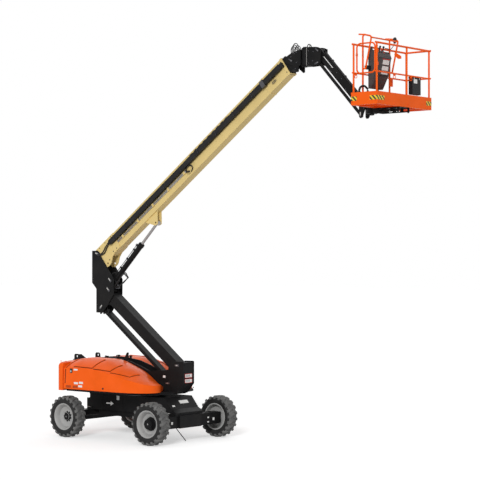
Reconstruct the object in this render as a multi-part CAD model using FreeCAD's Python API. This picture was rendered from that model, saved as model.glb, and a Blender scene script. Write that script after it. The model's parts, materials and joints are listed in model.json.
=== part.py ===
import FreeCAD, Part
import math
import os

# Articulated boom lift: a four-wheeled machine whose parallelogram tower, telescopic main boom
# and side-swinging jib carry a work platform.
#
# Origin: on the ground under the slewing axis, midway between the axles. +X is the way the booms
# reach, over the driven axle, +Y is the machine's left and +Z is up. Sizes are in millimetres and
# angles in degrees.

V = FreeCAD.Vector

# ---------------------------------------------------------------- wheels and axles
WHEELBASE = 2440.0
OVERALL_WIDTH = 2420.0
TYRE_RADIUS = 445.0
TYRE_WIDTH = 290.0
RIM_RADIUS = 297.0          # outside of the rim flange
RIM_WALL = 12.0
FLANGE_HEIGHT = 25.0
FLANGE_WIDTH = 8.0
FLANGE_INSET = 22.0         # flange's outer face inboard of the tyre's side
HUB_RADIUS = 105.0
AXLE_BOX_HALF = 105.0       # along X
AXLE_BOX_Z = (305.0, 555.0)
AXLE_BOX_INSET = 60.0       # its end inboard of the tyre's centre plane
SPINDLE_RADIUS = 50.0
SPINDLE_END = 10.0          # spindle stops this far inboard of the tyre's centre plane
KINGPIN_RADIUS = 28.0
KINGPIN_OFFSET = 185.0      # kingpin axis inboard of the tyre's centre plane
TIE_ROD_RADIUS = 18.0
STEER_ARM = 210.0           # kingpin axis to tie rod, towards the machine's middle

# ---------------------------------------------------------------- chassis
CHASSIS_HALF_WIDTH = 425.0
DECK_Z = 920.0
CHASSIS_FLOOR_Z = 560.0
PAN_Z = 450.0
GROUND_CLEARANCE = 300.0
CHASSIS_STEER_END = -WHEELBASE / 2 - 60.0
DECK_STEER_END = CHASSIS_STEER_END + 90.0
CHASSIS_DRIVE_END = WHEELBASE / 2 + 105.0
DECK_DRIVE_END = CHASSIS_DRIVE_END - 310.0
SLEW_RADIUS = 480.0
SLEW_BORE = 390.0
SLEW_RING_Z = 965.0         # top of the fixed ring

# ---------------------------------------------------------------- turntable
TURNTABLE_Z = 985.0
TURNTABLE_PLATE = 45.0
BODY_HALF_WIDTH = 1120.0    # over the hoods
TAIL_SWING = 1840.0         # radius of the tail about the slewing axis
TAIL_JOINT_X = -1320.0      # front face of the counterweight
TAIL_PLATE = 20.0
TAIL_BOTTOM_Z = 1000.0
TAIL_TOP_Z = 1600.0
TAIL_SLOT_Z = 1050.0
LIFT_EYE = V(-1684, 326, 1678)      # centre of the left lifting eye
LIFT_EYE_RADIUS = 25.0
LIFT_EYE_PLATE = 20.0
PANEL_GAP = 8.0
HOOD_WALL = 8.0
HOOD_BOTTOM_Z = 1040.0
HOOD_HINGE_X = (-920.0, -560.0)
HOOD_HINGE_Z = 1704.0
HOOD_PIN_RADIUS = 7.0
POWER_PACK = (-1050.0, -50.0, 400.0, 980.0, 1400.0)     # x, x, y, y, top

# ---------------------------------------------------------------- tower parallelogram
TOWER_FOOT = V(1169, 0, 1592)
TOWER_ANGLE = 143.2         # from +X, turning up
TOWER_LENGTH = 2577.0
LINK_FOOT = V(906, 0, 1207)
TOWER_HALF_WIDTH = 118.0
TOWER_DEPTH = 240.0
TOWER_WALL = 12.0
LINK_HALF_WIDTH = 75.0
LINK_WALL = 8.0
LINK_ABOVE_PIN = 24.0
LINK_BELOW_PIN = 50.0
PIN_RADIUS = 30.0
PIN_FIT = 0.05              # radial running clearance at every pin
PIN_HEAD = 5.0              # how far a pin stands out of its plate
SIDE_GAP = 6.0

# ---------------------------------------------------------------- upright
UPRIGHT_PLATE = 14.0
MAIN_PIVOT = V(-1230, 0, 3925)
CYLINDER_FOOT = V(-845, 0, 3342)

# ---------------------------------------------------------------- main boom
MAIN_ANGLE = 36.4
BOOM_HALF_WIDTH = 100.0
BOOM_TOP = 120.0            # above the line through the pivot
BOOM_BOTTOM = -263.0
BOOM_WALL = 8.0
BOOM_HEEL = 300.0           # where the box section starts, along the boom
BOOM_LENGTH = 6420.0
BRACKET_PLATE = 20.0
CYLINDER_EYE = (1731.0, -440.0)     # along and above the pivot line
LUG_PLATE = 20.0
FLY_GAP = 7.0
FLY_WALL = 8.0
FLY_STICKOUT = 90.0
FLY_HALF_WIDTH = BOOM_HALF_WIDTH - BOOM_WALL - FLY_GAP
FLY_HEEL = 520.0
HEAD_PIN = (6600.0, -100.0)
CARRIER_DEPTH = 65.0
CARRIER_Z = (-80.0, 32.0)

# ---------------------------------------------------------------- lift cylinder
BARREL_RADIUS = 60.0
BARREL_LENGTH = 1130.0
ROD_RADIUS = 30.0
ROD_START = 570.0           # inner end of the rod from the foot pin
EYE_RADIUS = 48.0
EYE_HALF_WIDTH = 42.0
LUG_INNER = EYE_HALF_WIDTH + 8.0

# ---------------------------------------------------------------- widths that fit round each other
BOOM_HEEL_HALF = BOOM_HALF_WIDTH + BRACKET_PLATE
UPRIGHT_INNER = max(BOOM_HEEL_HALF, TOWER_HALF_WIDTH) + SIDE_GAP + 2.0
UPRIGHT_OUTER = UPRIGHT_INNER + UPRIGHT_PLATE
FRAME_INNER = UPRIGHT_OUTER + PIN_HEAD + SIDE_GAP + 3.0     # inner faces of the two side plates
FRAME_PLATE = 16.0
FRAME_OUTER = FRAME_INNER + FRAME_PLATE
TAIL_SLOT = FRAME_OUTER + 8.0       # half-width of the slot for the folded upright
HOOD_INNER = FRAME_OUTER + 10.0
HOOD_HINGE_Y = HOOD_INNER + 12.0
# X, top of the outer side and top of the inner wall
HOOD_STATIONS = [
    (TAIL_JOINT_X + TAIL_PLATE + PANEL_GAP, 1480.0, 1628.0), (-1030.0, 1500.0, 1658.0),
    (-540.0, 1480.0, 1655.0), (-20.0, 1425.0, 1520.0), (330.0, 1360.0, 1375.0),
    (680.0, 1265.0, 1150.0), (900.0, 1170.0, 1090.0), (1120.0, 1090.0, 1080.0),
]
# X and Y of the rounded nose, from the inner edge to the outer side
HOOD_NOSE = [
    (740.0, HOOD_INNER), (815.0, 310.0), (925.0, 450.0), (1005.0, 590.0), (1010.0, 740.0),
    (950.0, 860.0), (785.0, 990.0), (540.0, 1080.0), (250.0, BODY_HALF_WIDTH),
]
LEFT_HOOD_START = -540.0    # the left hood is drawn in along X from here forwards
LEFT_HOOD_SCALE = 0.79

# ---------------------------------------------------------------- head, jib and carrier
HEAD_INNER = FLY_HALF_WIDTH + 5.0
HEAD_PLATE = 18.0
SWING_X = 4400.0
SWING_Z = (7660.0, 7975.0)
ACTUATOR_RADIUS = 85.0
YOKE_INNER = 98.0
YOKE_PLATE = 18.0
JIB_FOOT = V(4800, 0, 7910)
JIB_ANGLE = -47.2
JIB_LENGTH = 1500.0
JIB_PIN_SPACING = 232.0     # arm pin above link pin
JIB_HALF_WIDTH = 65.0
JIB_ABOVE = 40.0            # top and bottom of the arm from the line through its pins
JIB_BELOW = 110.0
JIB_WALL = 8.0
JIB_LINK_DEPTH = 60.0
JIB_LINK_BAR = 18.0
JIB_PIN_RADIUS = 20.0
ROTATOR_OFFSET = 181.0      # jib end pin to the platform's turning axis
ROTATOR_RADIUS = 100.0
ROTATOR_Z = (6600.0, 6840.0)

# ---------------------------------------------------------------- platform
PLATFORM_REAR = 6199.0      # centre line of the rear posts
PLATFORM_DEPTH = 525.0      # post to post, along X
PLATFORM_WIDTH = 1746.0     # post to post, along Y
TUBE_RADIUS = 19.0          # top rail
POST_RADIUS = 18.0
MID_TUBE_RADIUS = 15.0
TOP_RAIL_Z = 7839.0
MID_RAIL_Z = 7306.0
TOE_TOP_Z = 6938.0
FLOOR_Z = 6760.0
FLOOR_BOTTOM_Z = 6700.0
TOE_PLATE = 5.0
TOE_OVERHANG = 34.0         # toe board outside the post's centre line
BEAM_HALF_WIDTH = 170.0
BEAM_START = 135.0          # from the turning axis, clear of the carrier when it turns
BEAM_Z = 6612.0
GATE_LENGTH = 410.0
GATE_RADIUS = 15.0
GATE_PIN_RADIUS = 8.0
GUARD_TOP_Z = 8060.0
GUARD_REACH = 200.0
GUARD_STUB = 90.0           # the hoop's top bar beyond its post
GUARD_Y = (-577.0, 303.0)
CONSOLE_Y = (-440.0, -45.0)


# ---------------------------------------------------------------- helpers
def block(x0, x1, y0, y1, z0, z1):
    return Part.makeBox(x1 - x0, y1 - y0, z1 - z0, V(x0, y0, z0))


def rod(start, end, radius):
    """A round bar between two points."""
    along = end - start
    return Part.makeCylinder(radius, along.Length, start, along)


def across(x, z, radius, half_width):
    """A round bar along Y, centred on the machine's middle plane."""
    return Part.makeCylinder(radius, 2 * half_width, V(x, -half_width, z), V(0, 1, 0))


def side_plate(outline, y0, y1):
    """A flat plate with an outline in X and Z, from y0 to y1."""
    points = [V(x, y0, z) for x, z in outline]
    face = Part.Face(Part.makePolygon(points + points[:1]))
    return face.extrude(V(0, y1 - y0, 0))


def plan_plate(outline, z0, z1):
    """A flat plate with an outline in X and Y, from z0 to z1."""
    points = [V(x, y, z0) for x, y in outline]
    face = Part.Face(Part.makePolygon(points + points[:1]))
    return face.extrude(V(0, 0, z1 - z0))


def join(*shapes):
    """One solid, or several that don't touch, from shapes that overlap."""
    whole = shapes[0].fuse(list(shapes[1:])) if len(shapes) > 1 else shapes[0]
    return whole.removeSplitter()


def mirror_y(shape):
    return shape.mirror(V(0, 0, 0), V(0, 1, 0))


def both_sides(shape):
    return [shape, mirror_y(shape)]


def stand(shape, pivot, angle):
    """Put a shape drawn along +X from the origin at a pivot, turned up by an angle."""
    placed = shape.copy()
    placed.rotate(V(0, 0, 0), V(0, 1, 0), -angle)
    placed.translate(pivot)
    return placed


def place(pivot, angle, along, above):
    """The point at these distances along and above a raised line."""
    c = math.cos(math.radians(angle))
    s = math.sin(math.radians(angle))
    return pivot + V(along * c - above * s, 0, along * s + above * c)


def bent_tube(points, radius, bend):
    """A round tube through the points, with an arc at each corner."""
    edges = []
    start = points[0]
    for before, corner, after in zip(points, points[1:], points[2:]):
        a = (before - corner).normalize()
        b = (after - corner).normalize()
        half = a.getAngle(b) / 2
        cut = bend / math.tan(half)
        middle = (a + b).normalize()
        first = corner + a * cut
        last = corner + b * cut
        top = corner + middle * (bend / math.sin(half) - bend)
        edges.append(Part.LineSegment(start, first).toShape())
        edges.append(Part.Arc(first, top, last).toShape())
        start = last
    edges.append(Part.LineSegment(start, points[-1]).toShape())
    path = Part.Wire(edges)
    ring = Part.Wire(Part.makeCircle(radius, points[0], points[1] - points[0]))
    return path.makePipeShell([ring], True, False)


def save(name, shape):
    solids = shape.Solids
    if not solids:
        raise ValueError(name + " has no solid")
    keep = solids[0] if len(solids) == 1 else Part.makeCompound(solids)
    keep.exportStep("parts/" + name + ".step")


# ---------------------------------------------------------------- wheels
TYRE_CENTRE_Y = (OVERALL_WIDTH - TYRE_WIDTH) / 2
KINGPIN_Y = TYRE_CENTRE_Y - KINGPIN_OFFSET
STEER_X = -WHEELBASE / 2
DRIVE_X = WHEELBASE / 2


def turned(profile, centre):
    """A solid turned about the axle: the profile gives distances outboard and from the axle."""
    points = [V(0, out, radius) for out, radius in profile]
    face = Part.Face(Part.makePolygon(points + points[:1]))
    solid = face.revolve(V(0, 0, 0), V(0, 1, 0), 360)
    solid.translate(centre)
    return solid


def make_tyre(centre):
    half = TYRE_WIDTH / 2
    bead = RIM_RADIUS - FLANGE_HEIGHT
    flange = half - FLANGE_INSET - FLANGE_WIDTH - 0.3
    shoulder = TYRE_RADIUS - 38
    profile = [
        (-flange, bead), (-flange, RIM_RADIUS + 0.3), (-half + 4, bead + 55), (-half, bead + 90),
        (-half + 12, shoulder), (-half + 45, TYRE_RADIUS), (half - 45, TYRE_RADIUS),
        (half - 12, shoulder), (half, bead + 90), (half - 4, bead + 55),
        (flange, RIM_RADIUS + 0.3), (flange, bead),
    ]
    return turned(profile, centre)


def make_rim(centre, hub_depth, hub_radius, side):
    """A stepped dish rim with its hub; the hub stands out hub_depth from the dish."""
    half = TYRE_WIDTH / 2 - FLANGE_INSET
    edge = half - FLANGE_WIDTH
    seat = RIM_RADIUS - FLANGE_HEIGHT - 0.3
    dish = 25.0
    profile = [
        (half, seat), (half, RIM_RADIUS), (edge, RIM_RADIUS), (edge, seat),
        (-edge, seat), (-edge, RIM_RADIUS), (-half, RIM_RADIUS), (-half, seat - RIM_WALL),
        (dish - RIM_WALL, seat - RIM_WALL), (dish - 40, 150), (dish - 40, 70),
        (dish - 40 + RIM_WALL, 70), (dish - 40 + RIM_WALL, 145), (dish, seat - 60),
        (half - 40, seat - RIM_WALL - 22), (half - 8, seat - RIM_WALL),
    ]
    turned_rim = turned([(side * out, radius) for out, radius in profile], centre)
    start = centre + V(0, side * (dish - 60), 0)
    hub = Part.makeCylinder(hub_radius, hub_depth + 20, start, V(0, side, 0))
    bore = Part.makeCylinder(SPINDLE_RADIUS + PIN_FIT, 30, start, V(0, side, 0))
    return turned_rim.fuse(hub).removeSplitter().cut(bore)


def make_wheels():
    for end, x, hub_depth, hub_radius in (
        ("drive", DRIVE_X, 110.0, HUB_RADIUS),
        ("steer", STEER_X, 55.0, 75.0),
    ):
        for name, side in (("left", 1), ("right", -1)):
            centre = V(x, side * TYRE_CENTRE_Y, TYRE_RADIUS)
            save(end + "_tyre_" + name, make_tyre(centre))
            save(end + "_rim_" + name, make_rim(centre, hub_depth, hub_radius, side))


# ---------------------------------------------------------------- chassis, axles, steering
def make_chassis():
    hull = side_plate(
        [
            (DECK_STEER_END, DECK_Z), (DECK_STEER_END, 800), (CHASSIS_STEER_END, 800),
            (CHASSIS_STEER_END, CHASSIS_FLOOR_Z), (CHASSIS_DRIVE_END, CHASSIS_FLOOR_Z),
            (CHASSIS_DRIVE_END, 620), (CHASSIS_DRIVE_END - 120, 690), (DECK_DRIVE_END, DECK_Z),
        ],
        -CHASSIS_HALF_WIDTH, CHASSIS_HALF_WIDTH)
    pan = block(STEER_X + 260, DRIVE_X - 160, -380, 380, PAN_Z, CHASSIS_FLOOR_Z + 5)
    save("chassis_frame", join(hull, pan))
    ring = Part.makeCylinder(SLEW_RADIUS, SLEW_RING_Z - DECK_Z - 0.3, V(0, 0, DECK_Z + 0.3))
    bore = Part.makeCylinder(SLEW_BORE, 100, V(0, 0, DECK_Z - 10))
    save("slew_ring", ring.cut(bore))


def make_drive_axle():
    housing = block(DRIVE_X - 150, DRIVE_X + 150, -340, 340, GROUND_CLEARANCE, CHASSIS_FLOOR_Z - 0.3)
    reach = TYRE_CENTRE_Y - AXLE_BOX_INSET
    beam = block(DRIVE_X - AXLE_BOX_HALF, DRIVE_X + AXLE_BOX_HALF, -reach, reach, *AXLE_BOX_Z)
    stub = across(DRIVE_X, TYRE_RADIUS, SPINDLE_RADIUS, TYRE_CENTRE_Y - SPINDLE_END)
    save("drive_axle", join(housing, beam, stub))


def make_steer_axle():
    top = CHASSIS_FLOOR_Z - 0.3
    inner = KINGPIN_Y - 120
    beam = block(STEER_X - 110, STEER_X + 110, -inner, inner, 350, top)
    fork = []
    for side in (1, -1):
        y = side * KINGPIN_Y
        y0, y1 = sorted((side * (inner - 10), side * (KINGPIN_Y + 45)))
        arms = [block(STEER_X - 60, STEER_X + 60, y0, y1, z, z + 40) for z in (top - 40, 350)]
        pin = Part.makeCylinder(KINGPIN_RADIUS, top - 352, V(STEER_X, y, 351))
        fork += arms + [pin]
    save("steer_axle", join(beam, *fork))


def make_knuckle(side):
    """Swivelling stub: a collar on the kingpin, the wheel's spindle and the steering arm."""
    y = side * KINGPIN_Y
    low = 350 + 40 + SIDE_GAP
    high = CHASSIS_FLOOR_Z - 0.3 - 40 - SIDE_GAP
    collar = Part.makeCylinder(55, high - low, V(STEER_X, y, low))
    spindle_end = V(STEER_X, side * (TYRE_CENTRE_Y - SPINDLE_END), TYRE_RADIUS)
    spindle = rod(V(STEER_X, y, TYRE_RADIUS), spindle_end, SPINDLE_RADIUS)
    arm = block(STEER_X, STEER_X + STEER_ARM + 30, y - 22, y + 22, high - 30, high)
    body = join(collar, spindle, arm)
    bore = Part.makeCylinder(KINGPIN_RADIUS + PIN_FIT, 300, V(STEER_X, y, low - 20))
    return body.cut(bore)


def make_steering():
    for name, side in (("left", 1), ("right", -1)):
        save("steer_knuckle_" + name, make_knuckle(side))
    z = CHASSIS_FLOOR_Z - 0.3 - 40 - SIDE_GAP - 30 - TIE_ROD_RADIUS - 0.3
    reach = KINGPIN_Y - 5
    bar = Part.makeCylinder(TIE_ROD_RADIUS, 2 * reach, V(STEER_X + STEER_ARM, -reach, z), V(0, 1, 0))
    save("tie_rod", bar)


# ---------------------------------------------------------------- turntable
def frame_outline():
    """Side plate seen from the side: tail, low back between the hoods, high foot for the tower."""
    return [
        (-1780, TAIL_SLOT_Z + 5), (-1780, 1560), (-1600, 1612), (-1450, 1635), (-1140, 1674),
        (-900, 1685), (-685, 1682), (-235, 1626), (60, 1540),
        (353, 1439), (600, 1465), (885, 1481), (890, 1585), (1060, 1675), (1290, 1680),
        (1310, 1665), (1310, 1210), (1120, 1000), (TAIL_JOINT_X + 10, 1000),
        (TAIL_JOINT_X + 10, TAIL_SLOT_Z + 5),
    ]


def make_turntable():
    """Round base on the slewing ring, the tail plates, and a front web under the tower's foot."""
    deck_z = TURNTABLE_Z + TURNTABLE_PLATE
    floor = plan_plate(
        [(TAIL_JOINT_X + 10, -1000), (500, -1000), (820, -700), (960, -FRAME_OUTER - 30),
         (1090, -FRAME_INNER - 5), (1090, FRAME_INNER + 5), (960, FRAME_OUTER + 30),
         (820, 700), (500, 1000), (TAIL_JOINT_X + 10, 1000)],
        TURNTABLE_Z, deck_z)
    collar = Part.makeCylinder(SLEW_RADIUS - 20, TURNTABLE_Z - SLEW_RING_Z + 5 - 0.3,
                               V(0, 0, SLEW_RING_Z + 0.3))
    spigot = Part.makeCylinder(SLEW_BORE - PIN_FIT, TURNTABLE_Z - DECK_Z - 5, V(0, 0, DECK_Z + 6))
    tail = [block(TAIL_JOINT_X + 0.3, TAIL_JOINT_X + TAIL_PLATE, y0, y1, TURNTABLE_Z, 1450)
            for y0, y1 in ((-1000, -FRAME_OUTER - 0.3), (FRAME_OUTER + 0.3, 1000))]
    web = block(1282, 1300, -FRAME_INNER + 0.3, FRAME_INNER - 0.3, 1216, 1640)
    chin = side_plate([(1282, 1216), (1300, 1216), (1110, 1005), (1086, 1005)],
                      -FRAME_INNER + 0.3, FRAME_INNER - 0.3)
    slots = both_sides(block(TAIL_JOINT_X - 10, 1200, FRAME_INNER - 0.3, FRAME_OUTER + 0.3,
                             1000 - 0.3, deck_z + 10))
    base = join(floor, collar, spigot, web, chin, *tail)
    save("turntable_base", base.cut(join(*slots)))


def make_side_plates():
    """The two long plates that carry the tower, with hood hinges and pin bosses."""
    plate = side_plate(frame_outline(), FRAME_INNER, FRAME_OUTER)
    hinges = []
    for x in HOOD_HINGE_X:
        for x0 in (x - 45, x + 31):
            hinges.append(block(x0, x0 + 14, FRAME_INNER + 3, FRAME_OUTER, 1650, HOOD_HINGE_Z + 9))
            hinges.append(block(x0, x0 + 14, FRAME_OUTER - 2, HOOD_HINGE_Y + 7, HOOD_HINGE_Z - 9,
                                HOOD_HINGE_Z + 9))
        hinges.append(Part.makeCylinder(HOOD_PIN_RADIUS, 90, V(x - 45, HOOD_HINGE_Y, HOOD_HINGE_Z),
                                        V(1, 0, 0)))
    bosses = []
    for pin, free in ((TOWER_FOOT, TOWER_HALF_WIDTH), (LINK_FOOT, LINK_HALF_WIDTH)):
        bosses.append(pin_bosses(pin, 55, free + SIDE_GAP, FRAME_INNER + 5)[0])
    holes = join(*[across(pin.x, pin.z, PIN_RADIUS + PIN_FIT, FRAME_OUTER + 20)
                   for pin in (TOWER_FOOT, LINK_FOOT)])
    left = join(plate, *hinges, *bosses).cut(holes)
    fin = side_plate([(-425, 1630), (-330, 1800), (-300, 1811), (-272, 1800), (-330, 1620)],
                     -FRAME_OUTER, -FRAME_INNER)
    save("side_plate_left", left)
    save("side_plate_right", join(mirror_y(left), fin))
    pins = [across(pin.x, pin.z, PIN_RADIUS, FRAME_OUTER + PIN_HEAD) for pin in (TOWER_FOOT, LINK_FOOT)]
    save("tower_foot_pins", join(*pins))


def pin_bosses(at, radius, inner, outer):
    """A spacer on each side of whatever a pin carries."""
    return both_sides(Part.makeCylinder(radius, outer - inner, V(at.x, inner, at.z), V(0, 1, 0)))


def make_counterweight():
    """Cast tail block turned to the tail's swing, with a slot that takes the folded upright."""
    half = BODY_HALF_WIDTH
    body = Part.makeCylinder(TAIL_SWING, TAIL_TOP_Z - TAIL_BOTTOM_Z, V(0, 0, TAIL_BOTTOM_Z))
    body = body.common(block(-2000, TAIL_JOINT_X, -half, half, TAIL_BOTTOM_Z, TAIL_TOP_Z))
    corners = [e for e in body.Edges
               if e.BoundBox.ZLength > 100 and abs(e.BoundBox.YMax) > half - 1
               and e.BoundBox.XMax < TAIL_JOINT_X - 5]
    corners += [e for e in body.Edges
                if e.BoundBox.ZLength > 100 and abs(e.BoundBox.YMin) > half - 1
                and e.BoundBox.XMax < TAIL_JOINT_X - 5 and e.BoundBox.YMin < 0]
    body = body.makeFillet(120, corners)
    top = [e for e in body.Edges
           if e.BoundBox.ZMin > TAIL_TOP_Z - 1 and e.BoundBox.XMin < TAIL_JOINT_X - 5]
    body = body.makeFillet(90, top)
    slot = block(-2000, TAIL_JOINT_X + 10, -TAIL_SLOT, TAIL_SLOT, TAIL_SLOT_Z, TAIL_TOP_Z + 10)
    save("counterweight", body.cut(slot))


def make_lifting_lugs():
    """An eye plate on a foot on each side of the counterweight's top, at its seat's clearance."""
    x, y, z = LIFT_EYE.x, LIFT_EYE.y, LIFT_EYE.z
    seat = TAIL_TOP_Z + 0.3
    foot = block(x - 95, x + 75, y - 45, y + 45, seat, seat + 14)
    eye = side_plate([(x - 85, seat + 5), (x - 85, z + 25), (x - 60, z + 52), (x + 25, z + 52),
                      (x + 55, z + 20), (x + 65, seat + 5)], y - LIFT_EYE_PLATE / 2, y + LIFT_EYE_PLATE / 2)
    left = join(foot, eye).cut(across(x, z, LIFT_EYE_RADIUS, y + 60))
    save("lifting_lugs", Part.makeCompound(both_sides(left)))


def hood_section(x, side_top, top, wall, drop):
    """A closed outline across the machine: bottom, leaning side, rounded shoulder, inner edge."""
    inner = HOOD_INNER - 2 * wall
    outer = BODY_HALF_WIDTH - wall
    reach = outer - inner
    lean = 0.03 * reach
    a = V(x, inner, HOOD_BOTTOM_Z - drop)
    b = V(x, outer, HOOD_BOTTOM_Z - drop)
    c = V(x, outer - lean, side_top - wall)
    d = V(x, inner, top - wall)
    part = 0.42
    middle = V(x, c.y + (d.y - c.y) * part, c.z + (d.z - c.z) * part + 0.10 * reach)
    edges = [
        Part.LineSegment(a, b).toShape(),
        Part.LineSegment(b, c).toShape(),
        Part.Arc(c, middle, d).toShape(),
        Part.LineSegment(d, a).toShape(),
    ]
    return Part.Wire(edges)


def eased_stations(stations, step):
    """More stations between the given ones, each height easing from one to the next."""
    slopes = []
    count = len(stations)
    for i in range(count):
        row = []
        for k in (1, 2):
            before = after = 0.0
            if i > 0:
                before = (stations[i][k] - stations[i - 1][k]) / (stations[i][0] - stations[i - 1][0])
            if i < count - 1:
                after = (stations[i + 1][k] - stations[i][k]) / (stations[i + 1][0] - stations[i][0])
            row.append(2 * before * after / (before + after) if before * after > 0 else 0.0)
        slopes.append(row)
    eased = []
    for i in range(count - 1):
        x0, x1 = stations[i][0], stations[i + 1][0]
        pieces = max(1, round((x1 - x0) / step))
        for j in range(pieces):
            t = j / pieces
            heights = []
            for k in (1, 2):
                a, b = stations[i][k], stations[i + 1][k]
                ma, mb = slopes[i][k - 1] * (x1 - x0), slopes[i + 1][k - 1] * (x1 - x0)
                heights.append(a + ma * t + (3 * (b - a) - 2 * ma - mb) * t ** 2
                               + (2 * (a - b) + ma + mb) * t ** 3)
            eased.append((x0 + (x1 - x0) * t, heights[0], heights[1]))
    return eased + [stations[-1]]


def hood_loft(stations, wall, drop):
    return Part.makeLoft([hood_section(x, side_top, top, wall, drop)
                          for x, side_top, top in eased_stations(stations, 150)], True, False)


def hood_plan(outline, wall):
    """The hood seen from above, drawn in by a wall."""
    nose = Part.BSplineCurve()
    nose.interpolate([V(x, y, 0) for x, y in outline])
    if wall:
        count = 14
        inset = []
        for i in range(count + 1):
            u = nose.FirstParameter + (nose.LastParameter - nose.FirstParameter) * i / count
            t = nose.tangent(u)[0]
            inset.append(nose.value(u) + V(-t.y, t.x, 0) * wall)
        nose = Part.BSplineCurve()
        nose.interpolate(inset)
    start, end = nose.StartPoint, nose.EndPoint
    rear = HOOD_STATIONS[0][0] + wall
    corners = [end, V(rear, BODY_HALF_WIDTH - wall, 0), V(rear, HOOD_INNER + wall, 0), start]
    sides = [Part.LineSegment(p, q).toShape() for p, q in zip(corners, corners[1:])]
    face = Part.Face(Part.Wire([nose.toShape()] + sides))
    prism = face.extrude(V(0, 0, 1200))
    prism.translate(V(0, 0, HOOD_BOTTOM_Z - 50))
    return prism


def drawn_in(x):
    """Place along X on the shorter left hood."""
    return x if x < LEFT_HOOD_START else LEFT_HOOD_START + (x - LEFT_HOOD_START) * LEFT_HOOD_SCALE


def hood(stations, nose):
    """A shell open below and towards the frame's side plate."""
    first, last = stations[0][0] + HOOD_WALL, nose[0][0] - 2 * HOOD_WALL
    under = [(first, HOOD_BOTTOM_Z - 20)]
    for x, side_top, top in stations:
        if x < last:
            under.append((max(x, first), top - 2 * HOOD_WALL))
    under.append((last, stations[5][2] - 4 * HOOD_WALL))
    under.append((last, HOOD_BOTTOM_Z - 20))
    shell = hood_loft(stations, 0, 0).common(hood_plan(nose, 0))
    shell = shell.cut(hood_loft(stations, HOOD_WALL, 30).common(hood_plan(nose, HOOD_WALL)))
    shell = shell.cut(side_plate(under, HOOD_INNER - 10, HOOD_INNER + 2 * HOOD_WALL))
    for x in HOOD_HINGE_X:
        sleeve = Part.makeCylinder(14, 50, V(x - 25, HOOD_HINGE_Y, HOOD_HINGE_Z), V(1, 0, 0))
        shell = shell.fuse([sleeve, block(x - 25, x + 25, HOOD_HINGE_Y - 7, HOOD_HINGE_Y + 10,
                                          HOOD_HINGE_Z - 62, HOOD_HINGE_Z)])
    bore = Part.makeCylinder(HOOD_PIN_RADIUS + PIN_FIT, 600, V(-1000, HOOD_HINGE_Y, HOOD_HINGE_Z),
                             V(1, 0, 0))
    return shell.cut(bore)


def make_hoods():
    save("hood_left", hood([(drawn_in(x), side_top, top) for x, side_top, top in HOOD_STATIONS],
                           [(drawn_in(x), y) for x, y in HOOD_NOSE]))
    save("hood_right", mirror_y(hood(HOOD_STATIONS, HOOD_NOSE)))


def make_power_pack():
    x0, x1, y0, y1, z1 = POWER_PACK
    save("power_pack", block(x0, x1, y0, y1, TURNTABLE_Z + TURNTABLE_PLATE + 0.3, z1))


# ---------------------------------------------------------------- tower
TOWER_TOP = place(TOWER_FOOT, TOWER_ANGLE, TOWER_LENGTH, 0)
LINK_TOP = LINK_FOOT + (TOWER_TOP - TOWER_FOOT)


def make_tower_boom():
    """A channel open below, with ears round its two pins. Drawn along +X, its top towards -Z."""
    half = TOWER_HALF_WIDTH
    start, end = 110.0, TOWER_LENGTH - 110.0
    top = block(start, end, -half, half, -5, TOWER_WALL - 5)
    sides = both_sides(block(start, end, half - TOWER_WALL, half, -5, TOWER_DEPTH - 5))
    ribs = [block(x, x + 12, -half + 5, half - 5, 0, 120) for x in (400, 1300, 2200)]
    ears = []
    for x, toward in ((0.0, 1), (TOWER_LENGTH, -1)):
        outline = [(x - toward * 45, -50), (x + toward * 45, -50), (x + toward * 75, -18),
                   (x + toward * 120, -5), (x + toward * 260, 10), (x + toward * 260, 200),
                   (x + toward * 60, 150), (x - toward * 40, 50), (x - toward * 62, 0)]
        ears += both_sides(side_plate(outline, half - 45, half))
        ears.append(across(x, 0, 55, half))
    body = join(top, *sides, *ribs, *ears)
    for x in (0.0, TOWER_LENGTH):
        body = body.cut(across(x, 0, PIN_RADIUS + PIN_FIT, half + 10))
    save("tower_boom", stand(body, TOWER_FOOT, TOWER_ANGLE))


def make_tower_link():
    """A closed box bar with a collar round each pin."""
    half = LINK_HALF_WIDTH
    box = block(30, TOWER_LENGTH - 30, -half, half, -LINK_ABOVE_PIN, LINK_BELOW_PIN)
    bore = block(90, TOWER_LENGTH - 90, -half + LINK_WALL, half - LINK_WALL,
                 -LINK_ABOVE_PIN + LINK_WALL, LINK_BELOW_PIN - LINK_WALL)
    collars = [across(x, 0, LINK_BELOW_PIN, half) for x in (0.0, TOWER_LENGTH)]
    body = join(box.cut(bore), *collars)
    for x in (0.0, TOWER_LENGTH):
        body = body.cut(across(x, 0, PIN_RADIUS + PIN_FIT, half + 10))
    save("tower_link", stand(body, LINK_FOOT, TOWER_ANGLE))


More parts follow.
